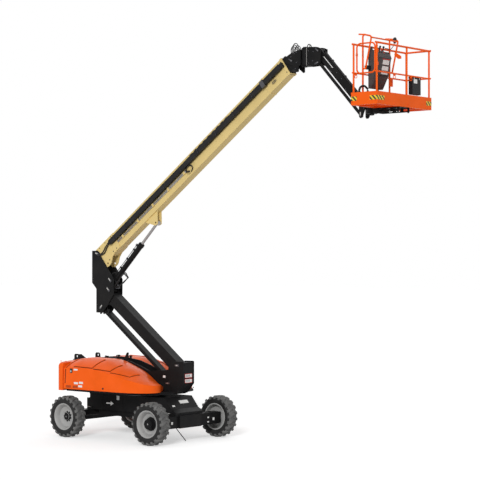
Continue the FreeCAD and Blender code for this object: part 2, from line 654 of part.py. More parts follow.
def make_upright():
    """Two side plates joined by a front web, a back web and the pins they carry."""
    outline = [
        (-1412, 4000), (-1245, 4000), (-955, 3640), (-752, 3380), (-757, 3040), (-1035, 2700),
        (-1075, 2645), (-1281, 2645), (-1281, 3165), (-1412, 3300),
    ]
    plates = both_sides(side_plate(outline, UPRIGHT_INNER, UPRIGHT_OUTER))
    grip = UPRIGHT_INNER + 5
    front = block(-788, -765, -grip, grip, 3172, 3258)
    back = block(-1407, -1390, -grip, grip, 3400, 3700)
    low_back = block(-1276, -1258, -grip, grip, 2900, 3120)
    pins = [across(pin.x, pin.z, PIN_RADIUS, UPRIGHT_OUTER + PIN_HEAD)
            for pin in (TOWER_TOP, LINK_TOP, CYLINDER_FOOT, MAIN_PIVOT)]
    for pin, free in ((TOWER_TOP, TOWER_HALF_WIDTH), (LINK_TOP, LINK_HALF_WIDTH),
                      (CYLINDER_FOOT, BARREL_RADIUS), (MAIN_PIVOT, BOOM_HEEL_HALF)):
        pins += pin_bosses(pin, 50, free + SIDE_GAP, UPRIGHT_INNER + 5)
    save("upright_frame", join(*plates, front, back, low_back, *pins))


# ---------------------------------------------------------------- main boom and its cylinder
def make_main_boom():
    """Hollow box with a heel bracket round the pivot and two lugs for the lift cylinder."""
    half = BOOM_HALF_WIDTH
    box = block(BOOM_HEEL, BOOM_LENGTH, -half, half, BOOM_BOTTOM, BOOM_TOP)
    bore = block(BOOM_HEEL - 10, BOOM_LENGTH + 10, -half + BOOM_WALL, half - BOOM_WALL,
                 BOOM_BOTTOM + BOOM_WALL, BOOM_TOP - BOOM_WALL)
    tube = box.cut(bore)
    outline = [
        (-60, BOOM_TOP), (620, BOOM_TOP), (620, BOOM_BOTTOM), (410, BOOM_BOTTOM), (300, -300),
        (200, -375), (150, -393), (60, -393), (0, -350), (-85, -60), (-85, 40),
    ]
    cheeks = both_sides(side_plate(outline, half - 1, half + BRACKET_PLATE))
    cap = block(-60, BOOM_HEEL + 20, -half, half, BOOM_TOP - 15, BOOM_TOP)
    boss = across(0, 0, 60, half + BRACKET_PLATE)
    collar = block(BOOM_LENGTH - 60, BOOM_LENGTH, -half - 8, half + 8, BOOM_BOTTOM - 8, BOOM_TOP + 8)
    collar = collar.cut(block(BOOM_LENGTH - 70, BOOM_LENGTH + 10, -half + 1, half - 1,
                              BOOM_BOTTOM + 1, BOOM_TOP - 1))
    eye_x, eye_z = CYLINDER_EYE
    lug_line = [
        (eye_x - 230, BOOM_BOTTOM + 1), (eye_x - 60, eye_z - 30), (eye_x - 20, eye_z - 52),
        (eye_x + 25, eye_z - 50), (eye_x + 60, eye_z - 10), (eye_x + 190, BOOM_BOTTOM + 1),
    ]
    lugs = both_sides(side_plate(lug_line, LUG_INNER, LUG_INNER + LUG_PLATE))
    body = join(tube, *cheeks, cap, boss, collar, *lugs)
    body = body.cut(across(0, 0, PIN_RADIUS + PIN_FIT, half + 60))
    body = body.cut(across(106, -330, 24, half + 60))
    body = body.cut(across(eye_x, eye_z, 22, half))
    save("main_boom_base", stand(body, MAIN_PIVOT, MAIN_ANGLE))


def make_hose_carrier():
    """Covered channel that carries the hoses along the right side of the boom."""
    y1 = -BOOM_HALF_WIDTH - BRACKET_PLATE - 0.3
    body = block(430, BOOM_LENGTH - 90, y1 - CARRIER_DEPTH, y1, *CARRIER_Z)
    rear = [e for e in body.Edges if e.BoundBox.XMax < 431 and e.BoundBox.YLength > 30]
    body = body.makeFillet(50, rear)
    brackets = [
        block(x, x + 60, y1 - 10, -BOOM_HALF_WIDTH - 0.3, CARRIER_Z[0] + 8, CARRIER_Z[1] - 8)
        for x in (900, 2000, 3100, 4200, 5300, 6200)
    ]
    save("hose_carrier", stand(join(body, *brackets), MAIN_PIVOT, MAIN_ANGLE))


def make_fly_boom():
    half = FLY_HALF_WIDTH
    low = BOOM_BOTTOM + BOOM_WALL + FLY_GAP
    high = BOOM_TOP - BOOM_WALL - FLY_GAP
    end = BOOM_LENGTH + FLY_STICKOUT
    box = block(FLY_HEEL, end, -half, half, low, high)
    bore = block(FLY_HEEL - 10, end - 12, -half + FLY_WALL, half - FLY_WALL, low + FLY_WALL, high - FLY_WALL)
    pin_x, pin_z = HEAD_PIN
    ear_line = [(end - 5, low), (end + 40, low + 10), (pin_x + 40, pin_z - 45), (pin_x + 50, pin_z + 20),
                (pin_x + 20, pin_z + 50), (end - 5, high - 20)]
    ears = both_sides(side_plate(ear_line, half - 25, half))
    body = join(box.cut(bore), *ears)
    body = body.cut(across(pin_x, pin_z, JIB_PIN_RADIUS + PIN_FIT, half + 20))
    save("fly_boom", stand(body, MAIN_PIVOT, MAIN_ANGLE))


CYLINDER_TOP = place(MAIN_PIVOT, MAIN_ANGLE, *CYLINDER_EYE)
CYLINDER_LENGTH = (CYLINDER_TOP - CYLINDER_FOOT).Length
CYLINDER_ANGLE = math.degrees(math.atan2(CYLINDER_TOP.z - CYLINDER_FOOT.z,
                                         CYLINDER_TOP.x - CYLINDER_FOOT.x))


def make_lift_cylinder():
    barrel = rod(V(60, 0, 0), V(BARREL_LENGTH, 0, 0), BARREL_RADIUS)
    gland = rod(V(BARREL_LENGTH - 60, 0, 0), V(BARREL_LENGTH, 0, 0), BARREL_RADIUS + 8)
    eye = across(0, 0, BARREL_RADIUS + 8, BARREL_RADIUS)
    neck = block(0, 90, -45, 45, -45, 45)
    port = block(150, 230, -70, -40, 10, 70)
    body = join(barrel, gland, eye, neck, port)
    body = body.cut(across(0, 0, PIN_RADIUS + PIN_FIT, 100))
    body = body.cut(rod(V(100, 0, 0), V(BARREL_LENGTH + 10, 0, 0), ROD_RADIUS + PIN_FIT))
    save("lift_barrel", stand(body, CYLINDER_FOOT, CYLINDER_ANGLE))
    bar = rod(V(ROD_START, 0, 0), V(CYLINDER_LENGTH - 20, 0, 0), ROD_RADIUS)
    eye = across(CYLINDER_LENGTH, 0, EYE_RADIUS, EYE_HALF_WIDTH)
    body = join(bar, eye)
    body = body.cut(across(CYLINDER_LENGTH, 0, 22, 100))
    save("lift_rod", stand(body, CYLINDER_FOOT, CYLINDER_ANGLE))


# ---------------------------------------------------------------- head, jib and carrier
HEAD_AT = place(MAIN_PIVOT, MAIN_ANGLE, *HEAD_PIN)
JIB_TOP = place(JIB_FOOT, JIB_ANGLE, JIB_LENGTH, 0)
LINK_DROP = V(0, 0, -JIB_PIN_SPACING)
ROTATOR_X = JIB_TOP.x + ROTATOR_OFFSET


def make_head():
    """Levelling head: two cheeks on the fly boom's pin and the housing of the swing actuator."""
    low, high = SWING_Z
    x, z = HEAD_AT.x, HEAD_AT.z
    outline = [(x - 150, z + 40), (x - 120, z + 105), (x - 20, z + 155), (x + 100, z + 185),
               (SWING_X - 40, high), (SWING_X - 40, low + 5), (x + 165, low), (x + 165, z - 222),
               (x + 130, z - 235), (x + 90, z - 200), (x + 40, z - 160), (x + 20, z - 100),
               (x - 60, z - 70), (x - 130, z - 40)]
    cheeks = both_sides(side_plate(outline, HEAD_INNER, HEAD_INNER + HEAD_PLATE))
    housing = Part.makeCylinder(ACTUATOR_RADIUS, high - low, V(SWING_X, 0, low))
    web = block(SWING_X - 110, SWING_X - 55, -HEAD_INNER - 5, HEAD_INNER + 5, low + 130, high - 15)
    pin = across(HEAD_AT.x, HEAD_AT.z, JIB_PIN_RADIUS, HEAD_INNER + HEAD_PLATE + 8)
    trunnions = [Part.makeCylinder(35, 45, V(SWING_X, 0, z)) for z in (low - 40, high - 5)]
    save("boom_head", join(*cheeks, housing, web, pin, *trunnions))


def jib_pins(at):
    """A through pin for the arm and, below it on the right, a stub pin for the link."""
    outer = YOKE_INNER + YOKE_PLATE + 8
    low = at + LINK_DROP
    stub = Part.makeCylinder(JIB_PIN_RADIUS, outer - JIB_HALF_WIDTH - 6,
                             V(low.x, -outer, low.z), V(0, 1, 0))
    return [across(at.x, at.z, JIB_PIN_RADIUS, outer), stub]


def make_yoke():
    """Swinging bracket: flanges above and below the actuator and two cheeks for the jib's pins."""
    low, high = SWING_Z
    flanges = []
    for z in (high + SIDE_GAP, low - SIDE_GAP - 24):
        disc = Part.makeCylinder(75, 24, V(SWING_X, 0, z))
        arm = block(SWING_X, SWING_X + 130, -75, 75, z, z + 24)
        bore = Part.makeCylinder(35 + PIN_FIT, 60, V(SWING_X, 0, z - 10))
        flanges.append(join(disc, arm).cut(bore))
    back = block(SWING_X + 110, SWING_X + 130, -YOKE_INNER - 5, YOKE_INNER + 5,
                 low - SIDE_GAP - 24, high + SIDE_GAP + 24)
    x0 = SWING_X + 110
    outline = [(x0, low - SIDE_GAP - 24), (x0, high + SIDE_GAP + 24), (JIB_FOOT.x - 60, high + 15),
               (JIB_FOOT.x - 10, high + 5),
               (JIB_FOOT.x + 60, JIB_FOOT.z + 40), (JIB_FOOT.x + 60, JIB_FOOT.z - 40),
               (JIB_FOOT.x + 50, JIB_FOOT.z - JIB_PIN_SPACING - 10),
               (JIB_FOOT.x + 10, JIB_FOOT.z - JIB_PIN_SPACING - 48),
               (JIB_FOOT.x - 60, JIB_FOOT.z - JIB_PIN_SPACING - 40)]
    cheeks = both_sides(side_plate(outline, YOKE_INNER, YOKE_INNER + YOKE_PLATE))
    pins = jib_pins(JIB_FOOT)
    save("jib_yoke", join(*flanges, back, *cheeks, *pins))


def make_jib():
    half = JIB_HALF_WIDTH
    start, end = 105.0, JIB_LENGTH - 105.0
    box = block(start, end, -half, half, -JIB_BELOW, JIB_ABOVE)
    bore = block(start + 12, end - 12, -half + JIB_WALL, half - JIB_WALL,
                 -JIB_BELOW + JIB_WALL, JIB_ABOVE - JIB_WALL)
    slot = block(start + 45, start + 375, -half - 10, half + 10, -28, 4)
    ears = []
    for x, toward in ((0.0, 1), (JIB_LENGTH, -1)):
        outline = [(x - toward * 45, -25), (x - toward * 45, 22), (x - toward * 20, JIB_ABOVE),
                   (x + toward * 150, JIB_ABOVE), (x + toward * 150, -JIB_BELOW),
                   (x + toward * 105, -JIB_BELOW), (x - toward * 15, -40)]
        ears += both_sides(side_plate(outline, half - 25, half))
        ears.append(across(x, 0, 38, half))
    body = join(box.cut(bore).cut(slot), *ears)
    for x in (0.0, JIB_LENGTH):
        body = body.cut(across(x, 0, JIB_PIN_RADIUS + PIN_FIT, half + 20))
    save("jib_arm", stand(body, JIB_FOOT, JIB_ANGLE))

    inner = half + 7
    deep = JIB_LINK_DEPTH / 2
    outline = [(-32, -15), (-32, 15), (-15, deep), (JIB_LENGTH + 15, deep), (JIB_LENGTH + 32, 15),
               (JIB_LENGTH + 32, -15), (JIB_LENGTH + 15, -deep), (-15, -deep)]
    bar = side_plate(outline, -inner - JIB_LINK_BAR, -inner)
    for x in (0.0, JIB_LENGTH):
        bar = bar.cut(across(x, 0, JIB_PIN_RADIUS + PIN_FIT, inner + 40))
    save("jib_link", stand(bar, JIB_FOOT + LINK_DROP, JIB_ANGLE))


def make_carrier():
    """Bracket at the jib's end that holds the platform's rotator upright."""
    top, low = JIB_TOP, JIB_TOP + LINK_DROP
    outline = [(top.x - 45, top.z - 15), (top.x - 45, top.z + 15), (top.x - 15, top.z + 45),
               (top.x + 70, top.z + 45), (top.x + 100, 6830), (top.x + 100, 6705),
               (low.x + 40, low.z - 20), (low.x + 15, low.z - 42), (low.x - 20, low.z - 42),
               (low.x - 40, low.z - 15)]
    cheeks = both_sides(side_plate(outline, YOKE_INNER, YOKE_INNER + YOKE_PLATE))
    back = block(top.x + 72, top.x + 90, -YOKE_INNER - 5, YOKE_INNER + 5, 6712, 6825)
    housing = Part.makeCylinder(ROTATOR_RADIUS, ROTATOR_Z[1] - 6702, V(ROTATOR_X, 0, 6702))
    pins = jib_pins(top)
    save("platform_carrier", join(*cheeks, back, housing, *pins))


# ---------------------------------------------------------------- platform
PLATFORM_FRONT = PLATFORM_REAR + PLATFORM_DEPTH
HALF_PLATFORM = PLATFORM_WIDTH / 2
TOE_REAR = PLATFORM_REAR - TOE_OVERHANG
TOE_FRONT = PLATFORM_FRONT + TOE_OVERHANG
TOE_SIDE = HALF_PLATFORM + TOE_OVERHANG
GATE_HINGE = V(PLATFORM_FRONT - 10, -HALF_PLATFORM + 42, 0)
GATE_HINGE_Z = (7420.0, 7660.0)


def make_platform_support():
    """Output flange of the rotator and the channel that runs under the floor."""
    top = FLOOR_BOTTOM_Z - 0.3
    flange = Part.makeCylinder(ROTATOR_RADIUS + 5, 6697 - BEAM_Z, V(ROTATOR_X, 0, BEAM_Z))
    knob = Part.makeCylinder(45, 30, V(ROTATOR_X, 0, BEAM_Z - 25))
    x0, x1 = ROTATOR_X + BEAM_START, TOE_FRONT - 10
    neck = block(ROTATOR_X + 60, x0 + 10, -60, 60, BEAM_Z + 20, top - 4)
    web = block(x0, x1, -BEAM_HALF_WIDTH, BEAM_HALF_WIDTH, top - 8, top)
    sides = both_sides(block(x0, x1, BEAM_HALF_WIDTH - 8, BEAM_HALF_WIDTH, BEAM_Z, top))
    close = block(x0, x0 + 8, -BEAM_HALF_WIDTH, BEAM_HALF_WIDTH, BEAM_Z, top)
    body = join(flange, knob, neck, web, close, *sides)
    for i in range(3):
        x = x0 + 155 + 170 * i
        hole = join(across(x, BEAM_Z + 45, 20, 400), across(x + 60, BEAM_Z + 45, 20, 400),
                    block(x, x + 60, -400, 400, BEAM_Z + 25, BEAM_Z + 65))
        body = body.cut(hole)
    save("platform_support", body)


def make_platform_floor():
    """Floor sheet with toe boards, stiffened by a turned-down edge."""
    outer = block(TOE_REAR, TOE_FRONT, -TOE_SIDE, TOE_SIDE, FLOOR_BOTTOM_Z, TOE_TOP_Z)
    inner = block(TOE_REAR + TOE_PLATE, TOE_FRONT - TOE_PLATE, -TOE_SIDE + TOE_PLATE,
                  TOE_SIDE - TOE_PLATE, FLOOR_Z, TOE_TOP_Z + 10)
    under = block(TOE_REAR + 40, TOE_FRONT - 40, -TOE_SIDE + 40, TOE_SIDE - 40,
                  FLOOR_BOTTOM_Z - 10, FLOOR_Z - TOE_PLATE)
    ribs = [block(TOE_REAR + 30, TOE_FRONT - 30, y - 12, y + 12, FLOOR_BOTTOM_Z, FLOOR_Z - 2)
            for y in (-520.0, -BEAM_HALF_WIDTH + 20, BEAM_HALF_WIDTH - 20, 520.0)]
    save("platform_floor", join(outer.cut(inner).cut(under), *ribs))


def make_platform_rails():
    x0, x1, h = PLATFORM_REAR, PLATFORM_FRONT, HALF_PLATFORM
    over = 40.0
    foot = FLOOR_Z + 0.3
    pieces = []
    for x, y in ((x0, -h), (x1, -h), (x0, h), (x1, h), (x1, 110.0), (x0, GUARD_Y[0]), (x0, GUARD_Y[1])):
        pieces.append(rod(V(x, y, foot), V(x, y, TOP_RAIL_Z), POST_RADIUS))
    for z, radius in ((TOP_RAIL_Z, TUBE_RADIUS), (MID_RAIL_Z, MID_TUBE_RADIUS)):
        for x in (x0, x1):
            pieces.append(rod(V(x, -h - over, z), V(x, h + over, z), radius))
        pieces.append(rod(V(x0 - over, h, z + 1), V(x1 + over, h, z + 1), radius - 1))
    for z in GATE_HINGE_Z:
        pieces.append(Part.makeCylinder(GATE_PIN_RADIUS, 60, V(GATE_HINGE.x, GATE_HINGE.y, z)))
        pieces.append(block(GATE_HINGE.x - 10, GATE_HINGE.x + 10, -h, GATE_HINGE.y + 10, z + 55, z + 65))
    save("platform_rails", join(*pieces))


def make_gate():
    """Swing gate on the right side: a rounded loop on two hinge pins inside the front post."""
    x1 = PLATFORM_FRONT - POST_RADIUS - GATE_RADIUS - 7
    x0 = x1 - GATE_LENGTH
    y = -HALF_PLATFORM
    low, high = MID_RAIL_Z - 16, TOP_RAIL_Z + 2
    xm = (x0 + x1) / 2
    right = [V(xm, y, high), V(x1, y, high), V(x1, y, low), V(xm, y, low)]
    left = [V(xm, y, low), V(x0, y, low), V(x0, y, high), V(xm, y, high)]
    pieces = [bent_tube(half, GATE_RADIUS, 80.0) for half in (right, left)]
    for z in GATE_HINGE_Z:
        pieces.append(Part.makeCylinder(15, 50, V(GATE_HINGE.x, GATE_HINGE.y, z)))
        pieces.append(block(x1 - 6, x1 + 6, y, GATE_HINGE.y + 6, z, z + 50))
        pieces.append(block(x1 - 6, GATE_HINGE.x, GATE_HINGE.y - 6, GATE_HINGE.y + 6, z, z + 50))
    bore = Part.makeCylinder(GATE_PIN_RADIUS + PIN_FIT, 900, V(GATE_HINGE.x, GATE_HINGE.y, 7000))
    save("platform_gate", join(*pieces).cut(bore))


def make_console():
    """Weather cover of the control box, hung on the rear rail and open below."""
    x = PLATFORM_REAR + TUBE_RADIUS + 8
    y0, y1 = CONSOLE_Y
    outline = [(x, 7050), (x + 60, 7050), (x + 190, 7300), (x + 250, 7620), (x + 200, 7740), (x, 7790)]
    inside = [(x + 5, 7040), (x + 50, 7040), (x + 184, 7303), (x + 243, 7619), (x + 196, 7734),
              (x + 5, 7783)]
    shell = side_plate(outline, y0, y1).cut(side_plate(inside, y0 + 5, y1 - 5))
    hooks = [block(PLATFORM_REAR + TUBE_RADIUS + 0.3, x + 30, y, y + 40, 7750, TOP_RAIL_Z + 8)
             for y in (y0 + 60, y1 - 100)]
    save("control_console", join(shell, *hooks))


def make_guard():
    """Two hoops above the console, joined by a bar along their fronts."""
    x0 = PLATFORM_REAR
    x1 = x0 + GUARD_REACH
    top = GUARD_TOP_Z
    foot = TOP_RAIL_Z + TUBE_RADIUS + 0.3
    low = V(x0 + 60, 0, 7400)
    pieces = []
    for y in GUARD_Y:
        hoop = [V(x0, y, foot), V(x0, y, top), V(x1, y, top - 50), V(low.x, y, low.z)]
        pieces.append(bent_tube(hoop, 16.0, 45.0))
        pieces.append(rod(V(x0 - GUARD_STUB, y, top + 6), V(x0 + 60, y, top - 11), 15.0))
        pieces.append(block(x0 + POST_RADIUS + 0.3, low.x + 12, y - 12, y + 12, low.z - 5, low.z + 22))
    bar_z = top - 70
    pieces.append(rod(V(x1 - 14, GUARD_Y[0], bar_z), V(x1 - 14, GUARD_Y[1], bar_z), 14.0))
    save("console_guard", join(*pieces))


def make_document_box():
    x1 = PLATFORM_FRONT - MID_TUBE_RADIUS - 0.3
    save("document_box", block(x1 - 90, x1, 330, 610, TOE_TOP_Z + 30, MID_RAIL_Z + 6))


def main():
    os.makedirs("parts", exist_ok=True)
    make_wheels()
    make_chassis()
    make_drive_axle()
    make_steer_axle()
    make_steering()
    make_turntable()
    make_side_plates()
    make_counterweight()
    make_lifting_lugs()
    make_hoods()
    make_power_pack()
    make_tower_boom()
    make_tower_link()
    make_upright()
    make_main_boom()
    make_hose_carrier()
    make_fly_boom()
    make_lift_cylinder()
    make_head()
    make_yoke()
    make_jib()
    make_carrier()
    make_platform_support()
    make_platform_floor()
    make_platform_rails()
    make_gate()
    make_console()
    make_guard()
    make_document_box()


main()
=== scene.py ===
"""Finished look of an articulated boom lift: paint, rubber, bolts, hoses, labels and studio.

Sizes are in metres. The machine stands on Z = 0, reaches towards +X and has its left at +Y.
"""
import json
import math

import bmesh
import bpy
from bpy.props import FloatProperty, FloatVectorProperty, IntProperty, PointerProperty
from mathutils import Matrix, Vector
from mathutils.bvhtree import BVHTree


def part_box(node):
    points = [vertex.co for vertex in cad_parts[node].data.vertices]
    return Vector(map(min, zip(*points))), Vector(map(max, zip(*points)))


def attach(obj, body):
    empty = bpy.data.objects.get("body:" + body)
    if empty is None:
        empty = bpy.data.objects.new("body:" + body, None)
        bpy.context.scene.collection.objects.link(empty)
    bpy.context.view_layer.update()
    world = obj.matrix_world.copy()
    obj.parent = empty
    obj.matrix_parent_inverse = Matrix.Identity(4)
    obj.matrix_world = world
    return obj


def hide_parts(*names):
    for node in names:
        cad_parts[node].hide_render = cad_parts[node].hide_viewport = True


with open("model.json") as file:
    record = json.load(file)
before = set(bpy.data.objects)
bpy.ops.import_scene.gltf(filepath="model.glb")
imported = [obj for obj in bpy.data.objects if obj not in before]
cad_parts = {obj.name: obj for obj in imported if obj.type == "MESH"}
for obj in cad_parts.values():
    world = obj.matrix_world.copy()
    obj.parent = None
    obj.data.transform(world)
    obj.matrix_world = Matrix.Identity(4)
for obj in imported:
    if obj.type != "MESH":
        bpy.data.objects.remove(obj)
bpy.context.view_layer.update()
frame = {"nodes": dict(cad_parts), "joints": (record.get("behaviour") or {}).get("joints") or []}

bl_info = {
    "name": "Articulated Boom Lift Looks",
    "version": (1, 0, 0),
    "blender": (4, 5, 0),
    "location": "View3D > Sidebar > Boom Lift",
    "description": "Builds the finished look of an articulated boom lift on its engineering model",
    "category": "Object",
}

NODES = frame["nodes"]
JOINTS = {joint["name"]: joint for joint in frame["joints"]}


def joint_at(name):
    return Vector(JOINTS[name]["pos_m"])


# ---------------------------------------------------------------- settings
def colour_setting(name, words, default):
    return FloatVectorProperty(name=name, description=words, subtype="COLOR", size=3,
                               min=0.0, max=1.0, default=default)


def length_setting(name, words, default):
    return FloatProperty(name=name, description=words, default=default, min=0.0, unit="LENGTH")


class PaintSettings(bpy.types.PropertyGroup):
    orange: colour_setting("Orange", "Paint of the hoods, counterweight and platform",
                           (0.95, 0.125, 0.009))
    beige: colour_setting("Beige", "Paint of the main boom", (0.77, 0.59, 0.245))
    black: colour_setting("Black", "Paint of the chassis, tower and jib", (0.009, 0.009, 0.0095))
    silver: colour_setting("Silver", "Paint of the wheel rims", (0.36, 0.36, 0.355))
    cover: colour_setting("Cover", "Weather cover of the control box", (0.070, 0.062, 0.062))
    rubber: colour_setting("Rubber", "Side walls of the tyres", (0.014, 0.014, 0.014))
    tread: colour_setting("Tread", "Dusty tread of the tyres", (0.115, 0.115, 0.114))


class WheelSettings(bpy.types.PropertyGroup):
    lugs: IntProperty(name="Lugs", description="Lugs on each half of the tread", default=20, min=8, max=40)
    lug_depth: length_setting("Lug depth", "Height of a lug above the casing", 0.026)
    stud_circle: length_setting("Stud circle", "Radius of the wheel studs' circle", 0.098)
    studs: IntProperty(name="Studs", description="Studs on each wheel", default=9, min=4, max=12)


class DetailSettings(bpy.types.PropertyGroup):
    rounding: length_setting("Rounding", "Width of the rounded edges", 0.0025)


class StageSettings(bpy.types.PropertyGroup):
    camera: FloatVectorProperty(name="Camera", description="Place of the camera", subtype="XYZ",
                                size=3, default=(23.70, -25.129, 3.954))
    heading: FloatProperty(name="Heading", description="Turn of the view from +X", unit="ROTATION",
                           default=math.radians(129.87))
    rise: FloatProperty(name="Rise", description="Tilt of the view above level", unit="ROTATION",
                        default=0.008)
    lens: FloatProperty(name="Lens", description="Focal length in millimetres", default=120.18)
    floor: length_setting("Floor", "Half the side of the floor", 120.0)


SETTING_GROUPS = {
    "lift_paint": PaintSettings,
    "lift_wheels": WheelSettings,
    "lift_details": DetailSettings,
    "lift_stage": StageSettings,
}


# ---------------------------------------------------------------- materials
def nodes_of(name):
    """A new material with an empty tree and its shader."""
    material = bpy.data.materials.new(name)
    material.use_nodes = True
    tree = material.node_tree
    tree.nodes.clear()
    out = tree.nodes.new("ShaderNodeOutputMaterial")
    shader = tree.nodes.new("ShaderNodeBsdfPrincipled")
    tree.links.new(shader.outputs["BSDF"], out.inputs["Surface"])
    return material, tree, shader


def noise(tree, scale, detail, rough=0.55):
    coords = tree.nodes.new("ShaderNodeTexCoord")
    texture = tree.nodes.new("ShaderNodeTexNoise")
    texture.inputs["Scale"].default_value = scale
    texture.inputs["Detail"].default_value = detail
    texture.inputs["Roughness"].default_value = rough
    tree.links.new(coords.outputs["Object"], texture.inputs["Vector"])
    return texture.outputs["Fac"]


def spread(tree, value, low, high, out_low, out_high):
    node = tree.nodes.new("ShaderNodeMapRange")
    node.inputs["From Min"].default_value = low
    node.inputs["From Max"].default_value = high
    node.inputs["To Min"].default_value = out_low
    node.inputs["To Max"].default_value = out_high
    tree.links.new(value, node.inputs["Value"])
    return node.outputs["Result"]


def combine(tree, operation, a, b):
    node = tree.nodes.new("ShaderNodeMath")
    node.operation = operation
    for socket, value in zip(node.inputs, (a, b)):
        if isinstance(value, (int, float)):
            socket.default_value = value
        else:
            tree.links.new(value, socket)
    return node.outputs["Value"]


def blend_colours(tree, factor, first, second):
    node = tree.nodes.new("ShaderNodeMix")
    node.data_type = "RGBA"
    tree.links.new(factor, node.inputs["Factor"])
    for socket, value in ((node.inputs["A"], first), (node.inputs["B"], second)):
        if isinstance(value, bpy.types.NodeSocket):
            tree.links.new(value, socket)
        else:
            socket.default_value = (*value, 1.0)
    return node.outputs["Result"]


def edge_mask(tree, width):
    """Near 1 on sharp edges and 0 on open faces."""
    bevel = tree.nodes.new("ShaderNodeBevel")
    bevel.samples = 4
    bevel.inputs["Radius"].default_value = width
    plain = tree.nodes.new("ShaderNodeNewGeometry")
    dot = tree.nodes.new("ShaderNodeVectorMath")
    dot.operation = "DOT_PRODUCT"
    tree.links.new(bevel.outputs["Normal"], dot.inputs[0])
    tree.links.new(plain.outputs["Normal"], dot.inputs[1])
    return spread(tree, dot.outputs["Value"], 0.98, 0.80, 0.0, 1.0)


def bump(tree, shader, height, strength, distance):
    node = tree.nodes.new("ShaderNodeBump")
    node.inputs["Strength"].default_value = strength
    node.inputs["Distance"].default_value = distance
    tree.links.new(height, node.inputs["Height"])
    tree.links.new(node.outputs["Normal"], shader.inputs["Normal"])


def shade(colour, factor):
    return tuple(min(1.0, c * factor) for c in colour)


def painted_steel(name, colour, rough, worn, dust, wear, shine=0.5):
    """Sprayed paint: slight orange peel, dust that gathers in patches and rubbed edges."""
    material, tree, shader = nodes_of(name)
    patches = noise(tree, 2.3, 6.0)
    speckle = noise(tree, 34.0, 5.0)
    dusty = combine(tree, "MULTIPLY", spread(tree, patches, 0.42, 0.72, 0.0, dust),
                    spread(tree, speckle, 0.35, 0.65, 0.55, 1.0))
    toned = blend_colours(tree, spread(tree, patches, 0.3, 0.7, 0.0, 1.0), shade(colour, 0.93),
                          shade(colour, 1.04))
    dusted = blend_colours(tree, dusty, toned, (0.42, 0.38, 0.33))
    rubbed = combine(tree, "MULTIPLY", edge_mask(tree, 0.004),
                     spread(tree, noise(tree, 19.0, 4.0), 0.48, 0.62, 0.0, wear))
    final = blend_colours(tree, rubbed, dusted, worn)
    tree.links.new(final, shader.inputs["Base Color"])
    tree.links.new(spread(tree, speckle, 0.3, 0.7, rough - 0.06, rough + 0.10),
                   shader.inputs["Roughness"])
    shader.inputs["Specular IOR Level"].default_value = shine
    bump(tree, shader, noise(tree, 140.0, 2.0), 0.03, 0.001)
    return material


def bare_metal(name, colour, rough):
    """Machined or plated metal with fine mottling."""
    material, tree, shader = nodes_of(name)
    lines = noise(tree, 90.0, 3.0)
    tone = blend_colours(tree, spread(tree, noise(tree, 6.0, 4.0), 0.35, 0.65, 0.0, 1.0),
                         shade(colour, 0.86), colour)
    tree.links.new(tone, shader.inputs["Base Color"])
    tree.links.new(spread(tree, lines, 0.3, 0.7, rough - 0.08, rough + 0.10),
                   shader.inputs["Roughness"])
    shader.inputs["Metallic"].default_value = 1.0
    bump(tree, shader, lines, 0.05, 0.0006)
    return material


def moulded(name, colour, rough, grain, depth, dust, shine=0.18):
    """Rubber or plastic with a fine grain and dust on it."""
    material, tree, shader = nodes_of(name)
    patches = noise(tree, 5.0, 6.0)
    dusty = spread(tree, patches, 0.40, 0.75, 0.0, dust)
    tone = blend_colours(tree, dusty, colour, (0.30, 0.295, 0.285))
    edges = combine(tree, "MULTIPLY", edge_mask(tree, 0.005), 0.12)
    final = blend_colours(tree, edges, tone, shade(colour, 2.4))
    tree.links.new(final, shader.inputs["Base Color"])
    tree.links.new(spread(tree, patches, 0.3, 0.7, rough - 0.07, rough + 0.12),
                   shader.inputs["Roughness"])
    shader.inputs["Specular IOR Level"].default_value = shine
    bump(tree, shader, noise(tree, grain, 3.0), depth, 0.001)
    return material


def hazard_tape(name):
    """Slanting black and yellow bands along the tape."""
    material, tree, shader = nodes_of(name)
    coords = tree.nodes.new("ShaderNodeTexCoord")
    split = tree.nodes.new("ShaderNodeSeparateXYZ")
    tree.links.new(coords.outputs["Object"], split.inputs[0])
    along = combine(tree, "ADD", combine(tree, "ADD", split.outputs["X"], split.outputs["Y"]),
                    split.outputs["Z"])
    wave = combine(tree, "PINGPONG", along, 0.045)
    bands = spread(tree, wave, 0.021, 0.024, 0.0, 1.0)
    grime = spread(tree, noise(tree, 40.0, 5.0), 0.35, 0.7, 0.85, 1.0)
    tone = blend_colours(tree, bands, (0.012, 0.012, 0.012), (0.90, 0.66, 0.02))
    final = blend_colours(tree, grime, (0.2, 0.16, 0.06), tone)
    tree.links.new(final, shader.inputs["Base Color"])
    tree.links.new(spread(tree, grime, 0.85, 1.0, 0.55, 0.35), shader.inputs["Roughness"])
    bump(tree, shader, noise(tree, 150.0, 2.0), 0.04, 0.0005)
    return material


MATERIALS = {}


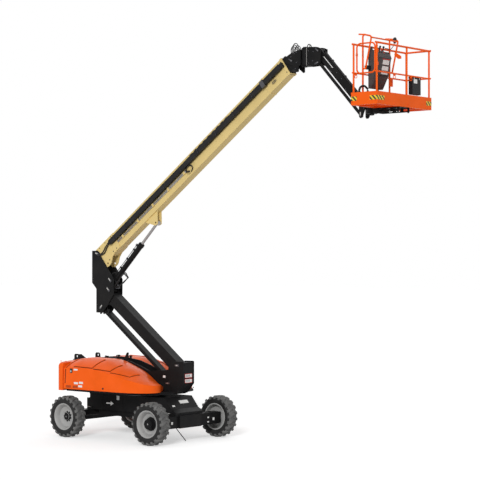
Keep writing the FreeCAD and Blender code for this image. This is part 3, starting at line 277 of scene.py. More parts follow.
def recipes():
    """For each material, the function that makes it and what that function takes after the name."""
    p = bpy.context.scene.lift_paint
    return {
        "orange_paint": (painted_steel, p.orange, 0.34, (0.40, 0.09, 0.03), 0.02, 0.10, 0.07),
        "beige_paint": (painted_steel, p.beige, 0.40, (0.40, 0.33, 0.22), 0.03, 0.10, 0.15),
        "black_paint": (painted_steel, p.black, 0.42, (0.10, 0.10, 0.10), 0.02, 0.20, 0.08),
        "silver_paint": (painted_steel, p.silver, 0.40, (0.25, 0.24, 0.23), 0.16, 0.35),
        "engine_paint": (painted_steel, (0.12, 0.12, 0.12), 0.6, (0.2, 0.2, 0.2), 0.35, 0.5),
        "rod_chrome": (bare_metal, (0.36, 0.35, 0.345), 0.28),
        "zinc": (bare_metal, (0.50, 0.49, 0.47), 0.42),
        "dark_steel": (bare_metal, (0.10, 0.10, 0.11), 0.42),
        "tyre_side": (moulded, p.rubber, 0.60, 120.0, 0.16, 0.06),
        "tyre_tread": (moulded, p.tread, 0.78, 90.0, 0.30, 0.45),
        "cover_plastic": (moulded, p.cover, 0.58, 160.0, 0.12, 0.10),
        "black_plastic": (moulded, (0.009, 0.009, 0.010), 0.45, 160.0, 0.10, 0.05),
        "hose_rubber": (moulded, (0.015, 0.015, 0.016), 0.50, 300.0, 0.10, 0.05),
        "red_plastic": (moulded, (0.55, 0.03, 0.02), 0.35, 200.0, 0.05, 0.05),
        "white_label": (moulded, (0.80, 0.80, 0.78), 0.42, 260.0, 0.03, 0.05),
        "red_label": (moulded, (0.62, 0.04, 0.03), 0.42, 260.0, 0.03, 0.05),
        "seam_shadow": (moulded, (0.10, 0.02, 0.006), 0.7, 200.0, 0.05, 0.05),
        "hazard_tape": (hazard_tape,),
    }


def make_material(recipe, name):
    maker, *values = recipes()[recipe]
    return maker(name, *values)


def material(name):
    if name not in MATERIALS:
        MATERIALS[name] = make_material(name, name)
    return MATERIALS[name]


CAD_FINISH = {
    "orange_paint": ("hood_left", "hood_right", "counterweight", "platform_floor", "platform_rails",
                     "platform_gate", "console_guard"),
    "beige_paint": ("main_boom_base",),
    "black_paint": ("chassis_frame", "drive_axle", "steer_axle", "steer_knuckle_left",
                    "steer_knuckle_right", "tie_rod", "turntable_base", "side_plate_left",
                    "side_plate_right", "lifting_lugs", "tower_boom", "tower_link",
                    "upright_frame", "fly_boom", "lift_barrel", "boom_head", "jib_yoke", "jib_arm",
                    "jib_link", "platform_carrier", "platform_support"),
    "silver_paint": ("drive_rim_left", "drive_rim_right", "steer_rim_left", "steer_rim_right"),
    "engine_paint": ("power_pack",),
    "rod_chrome": ("lift_rod",),
    "dark_steel": ("slew_ring", "tower_foot_pins"),
    "cover_plastic": ("control_console",),
    "black_plastic": ("hose_carrier", "document_box"),
    "tyre_side": ("drive_tyre_left", "drive_tyre_right", "steer_tyre_left", "steer_tyre_right"),
}


# ---------------------------------------------------------------- mesh building
class Rack:
    """Collects closed shapes into one mesh. Its axes can lie along a raised boom."""

    def __init__(self, origin=(0, 0, 0), along=(1, 0, 0)):
        self.mesh = bmesh.new()
        x = Vector(along).normalized()
        y = Vector((0, 1, 0))
        z = x.cross(y)
        self.place = Matrix.Translation(Vector(origin)) @ Matrix((x, y, z)).transposed().to_4x4()
        self.slots = []

    def index(self, name):
        if name not in self.slots:
            self.slots.append(name)
        return self.slots.index(name)

    def shell(self, points, faces, names, smooth=False):
        """Adds faces with one material, or with a material for each face from a list."""
        if isinstance(names, str):
            names = [names] * len(faces)
        vertices = [self.mesh.verts.new(self.place @ Vector(p)) for p in points]
        for face, name in zip(faces, names):
            made = self.mesh.faces.new([vertices[i] for i in face])
            made.material_index = self.index(name)
            made.smooth = smooth
        return vertices

    def block(self, low, high, name):
        (x0, y0, z0), (x1, y1, z1) = low, high
        points = [(x, y, z) for x in (x0, x1) for y in (y0, y1) for z in (z0, z1)]
        faces = [(0, 1, 3, 2), (4, 6, 7, 5), (0, 4, 5, 1), (2, 3, 7, 6), (0, 2, 6, 4), (1, 5, 7, 3)]
        self.shell(points, faces, name)

    def plate(self, outline, y0, y1, name):
        """A flat plate whose outline is given along and up."""
        count = len(outline)
        points = [(x, y, z) for y in (y0, y1) for x, z in outline]
        faces = [tuple(range(count)), tuple(range(2 * count - 1, count - 1, -1))]
        for i in range(count):
            j = (i + 1) % count
            faces.append((i, i + count, j + count, j))
        self.shell(points, faces, name)

    def bar(self, start, end, radius, name, sides=20):
        """A round bar, or one with six sides for a nut."""
        a, b = Vector(start), Vector(end)
        axis = (b - a).normalized()
        side = axis.orthogonal().normalized()
        other = axis.cross(side)
        points = []
        for centre in (a, b):
            for i in range(sides):
                t = 2 * math.pi * i / sides
                points.append(centre + (side * math.cos(t) + other * math.sin(t)) * radius)
        faces = [tuple(range(sides - 1, -1, -1)), tuple(range(sides, 2 * sides))]
        for i in range(sides):
            j = (i + 1) % sides
            faces.append((i, j, j + sides, i + sides))
        vertices = self.shell(points, faces, name)
        for vertex in vertices[:sides]:
            for face in vertex.link_faces:
                if len(face.verts) == 4:
                    face.smooth = True

    def bolt(self, at, axis, radius, name="dark_steel"):
        """Washer, hexagon head and a short thread end."""
        at, axis = Vector(at), Vector(axis).normalized()
        self.bar(at, at + axis * radius * 0.18, radius * 1.35, name, 20)
        self.bar(at + axis * radius * 0.18, at + axis * radius * 0.85, radius, name, 6)
        self.bar(at + axis * radius * 0.85, at + axis * radius * 1.05, radius * 0.5, name, 12)

    def boss(self, x, z, face, out, radius, sides=32, name="black_paint"):
        """A flat round boss that stands out from a side face."""
        self.bar((x, face, z), (x, face + out, z), radius, name, sides)

    def pad(self, x0, x1, z0, z1, face, out, name="black_paint"):
        """A flat block that stands out from a side face."""
        near, far = sorted((face, face + out))
        self.block((x0, near, z0), (x1, far, z1), name)

    def side_bolts(self, places, face, hand, radius, name="dark_steel"):
        for x, z in places:
            self.bolt((x, face, z), (0, hand, 0), radius, name)

    def turned(self, profile, centre, axis, name, steps):
        """A closed profile of (along, radius) turned about an axis. A list names each face's material."""
        centre, axis = Vector(centre), Vector(axis).normalized()
        side = axis.orthogonal().normalized()
        other = axis.cross(side)
        count = len(profile)
        names = name if isinstance(name, list) else [name] * count
        points = []
        for i in range(steps):
            t = 2 * math.pi * i / steps
            out = side * math.cos(t) + other * math.sin(t)
            points += [centre + axis * a + out * r for a, r in profile]
        faces = []
        for i in range(steps):
            j = (i + 1) % steps
            for k in range(count):
                m = (k + 1) % count
                faces.append((i * count + k, j * count + k, j * count + m, i * count + m))
        self.shell(points, faces, names * steps, smooth=True)

    def tube(self, points, radius, name, sides=10, fine=6):
        """A hose or bent tube along a smooth path."""
        path = smooth_path([Vector(p) for p in points], fine)
        count = len(path)
        tangents = []
        for i in range(count):
            a, b = path[max(0, i - 1)], path[min(count - 1, i + 1)]
            tangents.append((b - a).normalized())
        side = tangents[0].orthogonal().normalized()
        ring = []
        for centre, tangent in zip(path, tangents):
            side = (side - tangent * side.dot(tangent)).normalized()
            other = tangent.cross(side)
            for k in range(sides):
                t = 2 * math.pi * k / sides
                ring.append(centre + (side * math.cos(t) + other * math.sin(t)) * radius)
        faces = []
        for i in range(0, (count - 1) * sides, sides):
            for k in range(sides):
                m = (k + 1) % sides
                faces.append((i + k, i + m, i + sides + m, i + sides + k))
        vertices = self.shell(ring, faces, name, smooth=True)
        for end in (vertices[sides - 1::-1], vertices[-sides:]):
            self.mesh.faces.new(end).material_index = self.index(name)

    def finish(self, name, body, rounding=None, segments=2):
        bmesh.ops.recalc_face_normals(self.mesh, faces=self.mesh.faces[:])
        data = bpy.data.meshes.new(name)
        self.mesh.to_mesh(data)
        self.mesh.free()
        made = bpy.data.objects.new(name, data)
        bpy.context.scene.collection.objects.link(made)
        for slot in self.slots:
            data.materials.append(material(slot))
        if rounding is None:
            rounding = bpy.context.scene.lift_details.rounding
        if rounding:
            bevel = made.modifiers.new("rounded_edges", "BEVEL")
            bevel.width = rounding
            bevel.segments = segments
            bevel.limit_method = "ANGLE"
            bevel.angle_limit = math.radians(40)
        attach(made, body)
        return made


def smooth_path(points, fine):
    """Points along a Catmull-Rom curve through the given ones."""
    if len(points) < 3:
        return points
    path = []
    ends = [points[0] * 2 - points[1]] + points + [points[-1] * 2 - points[-2]]
    for a, b, c, d in zip(ends, ends[1:], ends[2:], ends[3:]):
        for i in range(fine):
            t = i / fine
            path.append(0.5 * ((2 * b) + (c - a) * t + (2 * a - 5 * b + 4 * c - d) * t ** 2
                               + (3 * b - a - 3 * c + d) * t ** 3))
    return path + [points[-1]]


def main_line():
    """Rack along the main boom: distances along and above the line through its pivot."""
    return Rack(joint_at("main_lift"), JOINTS["telescope"]["axis"])


def jib_line():
    return Rack(joint_at("jib_lift"), joint_at("carrier_level") - joint_at("jib_lift"))


def tower_line(joint):
    """Rack along the tower or its link: along from the foot pin, and down from its line."""
    rise = joint_at("upright_level") - joint_at("tower_lift")
    return Rack(joint_at(joint), rise)


def cylinder_line():
    return Rack(joint_at("cylinder_swing"), JOINTS["cylinder_stroke"]["axis"])


def pin_keeper(rack, x, z, face, hand, toward, radius=0.030, name="zinc", proud=0.008):
    """Pin end and a keeper tab beside it; a proud one also shows its nipple and its bolt."""
    rack.bar((x, face, z), (x, face + hand * proud, z), radius, "dark_steel", 28)
    turn = math.radians(toward)
    c, s = math.cos(turn), math.sin(turn)
    half, reach = 0.014, radius + 0.052
    corners = [(radius * 0.35, -half), (reach, -half), (reach, half), (radius * 0.35, half)]
    outline = [(x + a * c - b * s, z + a * s + b * c) for a, b in corners]
    top = face + hand * proud * 1.9
    rack.plate(outline, face + hand * proud, top, name)
    if proud > 0.004:
        rack.bar((x, face + hand * proud, z), (x, face + hand * proud * 2.5, z), 0.006, "zinc", 10)
        rack.bolt((x + c * (reach - 0.014), top, z + s * (reach - 0.014)), (0, hand, 0), 0.009)


# Outer faces of the pieces that fittings sit on, measured from the machine's middle.
PLATE_FACE = 0.172
TOWER_FACE = 0.118
LINK_FACE = 0.075
UPRIGHT_FACE = 0.142
BOOM_FACE = 0.100
HEEL_FACE = 0.120
FLY_FACE = 0.085
HEAD_FACE = 0.108
YOKE_FACE = 0.116
JIB_FACE = 0.065
SUPPORT_FACE = 0.170
CHASSIS_FACE = 0.425
CARRIER_FACES = (-0.1853, -0.1203)
TAIL_RADIUS = 1.84

HANDS = (("left", 1), ("right", -1))


def around(count, radius, start=0.0):
    """Pairs of distances that go round a circle."""
    for k in range(count):
        turn = 2 * math.pi * (k + start) / count
        yield radius * math.cos(turn), radius * math.sin(turn)


def loop_path(centre, wide, tall, steps=range(13), drift=0.0):
    """Points round an upright loop, a twelfth of a turn apart, that may drift sideways."""
    x, y, z = centre
    return [(x + wide * math.cos(math.pi * k / 6), y + drift * k, z + tall * math.sin(math.pi * k / 6))
            for k in steps]


# ---------------------------------------------------------------- operators
SLEEVE_REACH = 0.045        # how far the black of a hinge sleeve reaches from its pin


def hood_finish(node):
    """The hoods' orange, with black on the hinge sleeves along the inner edge."""
    surface = make_material("orange_paint", node + "_paint")
    tree = surface.node_tree
    shader = next(n for n in tree.nodes if n.type == "BSDF_PRINCIPLED")
    hinge = NODES[node].matrix_world.inverted() @ joint_at(node + "_lift")
    coords = tree.nodes.new("ShaderNodeTexCoord")
    split = tree.nodes.new("ShaderNodeSeparateXYZ")
    tree.links.new(coords.outputs["Object"], split.inputs[0])
    squares = []
    for axis, middle in (("Y", hinge.y), ("Z", hinge.z)):
        away = combine(tree, "SUBTRACT", split.outputs[axis], middle)
        squares.append(combine(tree, "MULTIPLY", away, away))
    on_sleeve = combine(tree, "LESS_THAN", combine(tree, "ADD", *squares), SLEEVE_REACH ** 2)
    colour = shader.inputs["Base Color"]
    sprayed = colour.links[0].from_socket
    tree.links.new(blend_colours(tree, on_sleeve, sprayed, bpy.context.scene.lift_paint.black), colour)
    return surface


class LIFT_OT_cad_finishes(bpy.types.Operator):
    """Gives every engineering piece its paint, metal or plastic"""
    bl_idname = "lift.cad_finishes"
    bl_label = "Finish Engineering Pieces"

    def execute(self, context):
        for finish, names in CAD_FINISH.items():
            for name in names:
                mesh = NODES[name].data
                mesh.materials.clear()
                mesh.materials.append(material(finish))
        for name in ("hood_left", "hood_right"):
            NODES[name].data.materials[0] = hood_finish(name)
        return {"FINISHED"}


class LIFT_OT_tyres(bpy.types.Operator):
    """Builds the four tyres with directional lugs"""
    bl_idname = "lift.tyres"
    bl_label = "Tyres"

    def execute(self, context):
        for end in ("drive", "steer"):
            for side, _ in HANDS:
                self.tyre(context.scene.lift_wheels, f"{end}_tyre_{side}", f"{end}_wheel_{side}")
        return {"FINISHED"}

    def tyre(self, s, node, body):
        low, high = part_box(node)
        centre = (low + high) / 2
        half = (high.y - low.y) / 2
        outer = (high.z - low.z) / 2
        casing = outer - s.lug_depth
        bead = 0.272
        rack = Rack(centre)
        profile = [(-half + 0.030, bead), (-half + 0.012, bead + 0.030), (-half + 0.002, bead + 0.085),
                   (-half + 0.010, casing - 0.045), (-half + 0.028, casing - 0.012),
                   (-half + 0.060, casing), (-0.05, casing + 0.003), (0.05, casing + 0.003),
                   (half - 0.060, casing), (half - 0.028, casing - 0.012),
                   (half - 0.010, casing - 0.045), (half - 0.002, bead + 0.085),
                   (half - 0.012, bead + 0.030), (half - 0.030, bead)]
        faces = ["tyre_side"] * 4 + ["tyre_tread"] * 5 + ["tyre_side"] * 5
        rack.turned(profile, (0, 0, 0), (0, 1, 0), faces, 72)
        for hand in (1, -1):
            for i in range(s.lugs):
                turn = 2 * math.pi * (i + (0.5 if hand < 0 else 0.0)) / s.lugs
                self.lug(rack, turn, hand, half, casing, outer, s.lugs)
        made = rack.finish("tread_" + node, body, 0.004, 1)
        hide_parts(node)

    def lug(self, rack, turn, hand, half, casing, outer, count):
        """One curved lug from the middle of the tread down over the shoulder."""
        pitch = 2 * math.pi / count
        stations = [(0.004, 0.0, 0.40), (0.040, 0.10, 0.44), (0.085, 0.26, 0.50),
                    (half - 0.030, 0.38, 0.56), (half - 0.010, 0.42, 0.52)]
        tops = [outer, outer, outer - 0.001, outer - 0.006, outer - 0.030]
        feet = [casing - 0.004] * 3 + [casing - 0.030, casing - 0.062]
        points = []
        for (across, lead, share), top, foot in zip(stations, tops, feet):
            for radius, squeeze in ((foot, 1.0), (top, 0.72)):
                for edge in (-0.5, 0.5):
                    angle = turn + pitch * (lead + edge * share * squeeze)
                    points.append((math.sin(angle) * radius, hand * across, math.cos(angle) * radius))
        faces = [(0, 1, 3, 2)]
        for k in range(len(stations) - 1):
            a, b = 4 * k, 4 * k + 4
            faces += [(a, b, b + 1, a + 1), (a + 2, a + 3, b + 3, b + 2),
                      (a, a + 2, b + 2, b), (a + 1, b + 1, b + 3, a + 3)]
        last = 4 * (len(stations) - 1)
        faces.append((last, last + 2, last + 3, last + 1))
        rack.shell(points, faces, "tyre_tread")


class LIFT_OT_hubs(bpy.types.Operator):
    """Builds the black wheel hubs with their studs"""
    bl_idname = "lift.hubs"
    bl_label = "Wheel Hubs"

    def execute(self, context):
        s = context.scene.lift_wheels
        for end in ("drive", "steer"):
            for side, hand in HANDS:
                low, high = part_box(f"{end}_rim_{side}")
                centre = (low + high) / 2
                rack = Rack(centre)
                axis = (0, hand, 0)
                if end == "drive":
                    profile = [(-0.012, 0.02), (-0.012, 0.142), (0.002, 0.142), (0.010, 0.118),
                               (0.070, 0.114), (0.098, 0.104), (0.104, 0.070), (0.104, 0.02)]
                    rack.turned(profile, (0, 0, 0), axis, "black_paint", 40)
                    for x, z in around(8, 0.088):
                        rack.bolt((x, hand * 0.100, z), axis, 0.010, "black_paint")
                else:
                    profile = [(-0.012, 0.02), (-0.012, 0.086), (0.006, 0.086), (0.012, 0.076),
                               (0.040, 0.074), (0.052, 0.060), (0.056, 0.02)]
                    rack.turned(profile, (0, 0, 0), axis, "black_paint", 40)
                circle = 0.128 if end == "drive" else s.stud_circle
                for x, z in around(s.studs, circle, 0.5):
                    rack.bolt((x, hand * -0.004, z), axis, 0.015, "black_paint")
                rack.finish(f"hub_{end}_{side}", f"{end}_wheel_{side}")
        return {"FINISHED"}


class LIFT_OT_turntable(bpy.types.Operator):
    """Adds pin keepers, blank plates, bolts and hoses to the turntable's frame"""
    bl_idname = "lift.turntable"
    bl_label = "Turntable Fittings"

    def execute(self, context):
        foot, link = joint_at("tower_lift"), joint_at("tower_link_lift")
        for side, hand in HANDS:
            face = hand * PLATE_FACE
            rack = Rack()
            for at in (foot, link):
                rack.boss(at.x, at.z, face, hand * 0.004, 0.052)
                pin_keeper(rack, at.x, at.z, face + hand * 0.005, hand, 180)
            rack.side_bolts(((1.275, 1.343), (1.018, 1.097), (1.285, 1.12), (1.12, 1.63), (0.93, 1.50),
                             (0.70, 1.10), (0.45, 1.10), (-0.10, 1.10), (-0.70, 1.10)),
                            face, hand, 0.010, "black_paint")
            rack.pad(0.735, 0.805, 1.316, 1.366, face, hand * 0.0012, "white_label")
            rack.plate([(1.02, 1.055), (1.285, 1.225), (1.285, 1.235), (1.02, 1.065)],
                       face - hand * 0.001, face + hand * 0.003, "black_paint")
            rack.finish("side_plate_fittings_" + side, "turntable")
        rack = Rack()
        front = 1.300
        for z in (1.375, 1.268):
            rack.block((front, -0.108, z - 0.042), (front + 0.001, 0.116, z + 0.042), "red_label")
            rack.block((front, -0.100, z - 0.034), (front + 0.002, 0.108, z + 0.034), "white_label")
            for k in range(3):
                foot_of_line = z - 0.018 + 0.016 * k
                rack.block((front, -0.09, foot_of_line), (front + 0.0026, 0.05, foot_of_line + 0.006),
                           "black_plastic")
        for y in (-0.13, 0.13):
            for z in (1.24, 1.45, 1.60):
                rack.bolt((front, y, z), (1, 0, 0), 0.009, "black_paint")
        rack.block((front - 0.018, -0.150, 1.640), (front + 0.006, 0.150, 1.652), "black_paint")
        rack.finish("front_cover_fittings", "turntable")
        self.lug_gusset()
        self.deck_hoses()
        return {"FINISHED"}

    def lug_gusset(self):
        """Web behind the right lifting lug and bolts in both lugs' feet."""
        low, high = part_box("lifting_lugs")
        rack = Rack()
        y, end, seat = low.y + 0.045, high.x, low.z
        rack.plate([(end - 0.035, seat), (end - 0.035, seat + 0.125), (end + 0.05, seat + 0.130),
                    (end + 0.20, seat + 0.048), (end + 0.20, seat)], y - 0.007, y + 0.007, "black_paint")
        for hand in (1, -1):
            for x in (low.x + 0.018, high.x - 0.018):
                for dy in (-0.028, 0.028):
                    rack.bolt((x, hand * 0.326 + dy, seat + 0.014), (0, 0, 1), 0.009)
        rack.finish("lifting_lug_fittings", "turntable")

    def deck_hoses(self):
        """Hydraulic hoses and a valve block on the deck between the side plates."""
        rack = Rack()
        rack.block((-0.55, -0.10, 1.03), (-0.20, 0.10, 1.075), "dark_steel")
        for k in range(5):
            x, y = -0.50 + 0.062 * k, -0.06 + 0.03 * k
            rack.bar((x, 0.0, 1.075), (x, 0.0, 1.090), 0.018, "zinc", 6)
            rack.tube([(x, 0.0, 1.085), (x + 0.05, 0.01 * k, 1.105), (0.05 + 0.1 * k, y, 1.060),
                       (0.55, y, 1.050), (0.80, -0.05 + 0.026 * k, 1.055)], 0.010, "hose_rubber")
        rack.finish("deck_hoses", "turntable")


class LIFT_OT_tower(bpy.types.Operator):
    """Adds bosses, weld beads, bolts and hoses to the tower, its link and the upright"""
    bl_idname = "lift.tower"
    bl_label = "Tower Fittings"

    def execute(self, context):
        length = (joint_at("upright_level") - joint_at("tower_lift")).length
        rack = tower_line("tower_lift")
        seam = length - 0.42
        for hand in (1, -1):
            face = hand * TOWER_FACE
            for x in (0.0, length):
                rack.boss(x, 0, face, hand * 0.004, 0.062)
            rack.pad(0.28, length - 0.28, 0.222, 0.234, face, hand * 0.003)
            rack.pad(seam, seam + 0.012, 0.0, 0.232, face, hand * 0.003)
            rack.side_bolts([(x, 0.11) for x in (0.22, 0.34, length - 0.34, length - 0.22)],
                            face, hand, 0.009, "black_paint")
        for k in range(3):
            y = -0.03 + 0.03 * k
            rack.tube([(0.30, y, 0.12), (0.9, y, 0.06), (1.6, y, 0.06), (length - 0.30, y, 0.12)], 0.011,
                      "hose_rubber")
        rack.finish("tower_fittings", "tower")
        rack = tower_line("tower_link_lift")
        for hand in (1, -1):
            face = hand * LINK_FACE
            for x in (0.0, length):
                rack.boss(x, 0, face, hand * 0.004, 0.046, 28)
            rack.side_bolts(((0.30, 0.012), (length - 0.30, 0.012)), face, hand, 0.008, "black_paint")
        rack.finish("tower_link_fittings", "tower_linkage")
        self.upright()
        return {"FINISHED"}

    def upright(self):
        rack = Rack()
        tower = joint_at("upright_level")
        link = tower + joint_at("tower_link_lift") - joint_at("tower_lift")
        pivot, foot = joint_at("main_lift"), joint_at("cylinder_swing")
        for hand in (1, -1):
            face = hand * UPRIGHT_FACE
            for at, toward in ((tower, 135), (foot, 135), (link, 45), (pivot, 160)):
                rack.boss(at.x, at.z, face, hand * 0.004, 0.048)
                pin_keeper(rack, at.x, at.z, face + hand * 0.004, hand, toward, proud=0.002)
            rack.bolt((-1.365, face, 3.336), (0, hand, 0), 0.007)
            rack.side_bolts(((-1.36, 3.90), (-1.36, 3.62), (-1.23, 3.08), (-0.80, 3.10), (-0.82, 3.30)),
                            face, hand, 0.007, "black_paint")
        for x in (-1.225, -1.127, -1.028):
            rack.tube([(x, -0.05, 2.74), (x, -0.06, 2.66), (x + 0.01, -0.07, 2.618), (x + 0.05, -0.07, 2.65),
                       (x + 0.06, -0.06, 2.72)], 0.012, "hose_rubber")
        self.port_hoses(rack)
        rack.finish("upright_fittings", "upright")

    def port_hoses(self, rack):
        """Valve block on the front web with looping hoses."""
        rack.block((-0.764, -0.09, 3.175), (-0.735, 0.03, 3.255), "dark_steel")
        rack.block((-0.735, -0.075, 3.19), (-0.700, -0.02, 3.24), "black_plastic")
        for k in range(4):
            y = -0.120 + 0.012 * k
            rack.tube([(-0.74, y, 3.22), (-0.66, y - 0.02, 3.30), (-0.50, y - 0.03, 3.44 + 0.02 * k),
                       (-0.40, y - 0.02, 3.53 - 0.03 * k), (-0.35, y - 0.01, 3.42),
                       (-0.47, y - 0.01, 3.30 + 0.015 * k), (-0.62, y, 3.24), (-0.735, y, 3.20)], 0.0085,
                      "hose_rubber")
        rack.bar((-0.735, -0.06, 3.21), (-0.715, -0.06, 3.21), 0.014, "zinc", 6)
        rack.bar((-0.70, -0.05, 3.225), (-0.675, -0.05, 3.225), 0.009, "zinc", 12)


class LIFT_OT_main_boom(bpy.types.Operator):
    """Adds hard lines, clips, hoses, the clamp band and bolts to the main boom, the fly and the cylinder"""
    bl_idname = "lift.main_boom"
    bl_label = "Main Boom Fittings"

    def execute(self, context):
        rack = main_line()
        half = BOOM_FACE
        for hand in (1, -1):
            face = hand * HEEL_FACE
            rack.boss(0, 0, face, hand * 0.004, 0.056, name="beige_paint")
            rack.side_bolts(((0.10, 0.085), (0.30, 0.085), (0.52, 0.085), (0.52, -0.22), (0.40, -0.22),
                             (0.57, -0.07), (0.03, -0.20), (0.20, -0.30)), face, hand, 0.010)
            rack.side_bolts([(6.37, z) for z in (-0.20, -0.07, 0.06)], hand * (half + 0.008), hand, 0.009)
        for z in (-0.108, -0.136):
            rack.bar((0.62, -half - 0.014, z), (3.12, -half - 0.014, z), 0.010, "zinc", 12)
        for k in range(5):
            x = 0.80 + 0.55 * k
            rack.block((x, -half - 0.028, -0.156), (x + 0.05, -half, -0.090), "beige_paint")
        rack.block((5.765, -half - 0.004, -0.267), (5.80, half + 0.004, 0.124), "beige_paint")
        for k in range(4):
            rack.bolt((6.39, -0.06 + 0.04 * k, 0.128), (0, 0, 1), 0.008)
            rack.bolt((6.39, -0.06 + 0.04 * k, -0.271), (0, 0, -1), 0.008)
        rack.tube(loop_path((6.02, -half - 0.026, -0.150), 0.055, 0.020), 0.006, "dark_steel", 8, 2)
        loop = loop_path((3.21, -0.130, -0.150), 0.090, 0.065, range(-3, 10), -0.004)
        rack.tube([(3.10, -0.114, -0.122)] + loop[::-1], 0.011, "hose_rubber", 10, 3)
        for hose in (((0.42, -0.150, -0.02), (0.30, -0.145, -0.05), (0.16, -0.140, -0.10),
                      (0.02, -0.146, -0.05), (-0.10, -0.10, 0.02)),
                     ((0.42, -0.165, 0.00), (0.28, -0.155, -0.02), (0.12, -0.150, -0.06),
                      (-0.02, -0.150, 0.00), (-0.12, -0.08, 0.06))):
            rack.tube(hose, 0.012, "hose_rubber")
        rack.finish("main_boom_fittings", "main_boom")
        self.carrier_cover()
        self.fly()
        self.cylinder()
        return {"FINISHED"}

    def carrier_cover(self):
        """Cover joints, straps and bolts along the hose carrier."""
        rack = main_line()
        y0, y1 = CARRIER_FACES
        for k in range(10):
            x = 0.62 + 0.60 * k
            rack.block((x, y0 - 0.004, -0.084), (x + 0.030, y1, 0.036), "black_plastic")
            rack.side_bolts(((x + 0.015, -0.055), (x + 0.015, 0.008)), y0 - 0.004, -1, 0.008)
        rack.block((6.30, y0 + 0.008, -0.072), (6.402, y1, 0.024), "black_plastic")
        for k in range(9):
            x = 3.40 + 0.15 * k
            rack.bar((x, y0 + 0.020, 0.038), (x + 0.08, y0 + 0.020, 0.038), 0.016, "hose_rubber", 12)
        rack.block((5.74, y0 - 0.010, -0.100), (5.84, y1, 0.052), "dark_steel")
        for z in (-0.052, 0.0):
            rack.block((0.46, y0 - 0.002, z), (6.30, y0, z + 0.006), "black_plastic")
        rack.finish("hose_carrier_fittings", "main_boom")

    def fly(self):
        rack = main_line()
        for hand in (1, -1):
            face = hand * FLY_FACE
            rack.boss(6.60, -0.100, face, hand * 0.003, 0.042, 28)
            rack.side_bolts(((6.47, -0.20), (6.47, 0.05)), face, hand, 0.008, "black_paint")
        rack.finish("fly_boom_fittings", "fly")

    def cylinder(self):
        rack = cylinder_line()
        for y, z in around(8, 0.056):
            rack.bolt((1.13, y, z), (1, 0, 0), 0.007, "black_paint")
        rack.bar((0.17, -0.045, 0.066), (1.02, -0.045, 0.066), 0.008, "dark_steel", 10)
        for x in (0.35, 0.62, 0.90):
            rack.block((x, -0.058, 0.030), (x + 0.03, -0.030, 0.078), "black_paint")
        rack.block((1.02, -0.062, 0.044), (1.07, -0.026, 0.082), "dark_steel")
        rack.tube([(0.19, -0.055, 0.07), (0.12, -0.075, 0.11), (0.02, -0.08, 0.10), (-0.06, -0.07, 0.04)],
                  0.009, "hose_rubber")
        rack.finish("cylinder_fittings", "cylinder_barrel")
        rack = cylinder_line()
        rack.turned([(1.130, 0.0305), (1.130, 0.044), (1.142, 0.044), (1.148, 0.036), (1.148, 0.0305)],
                    (0, 0, 0), (1, 0, 0), "black_plastic", 36)
        rack.finish("cylinder_wiper", "cylinder_barrel", 0.0)


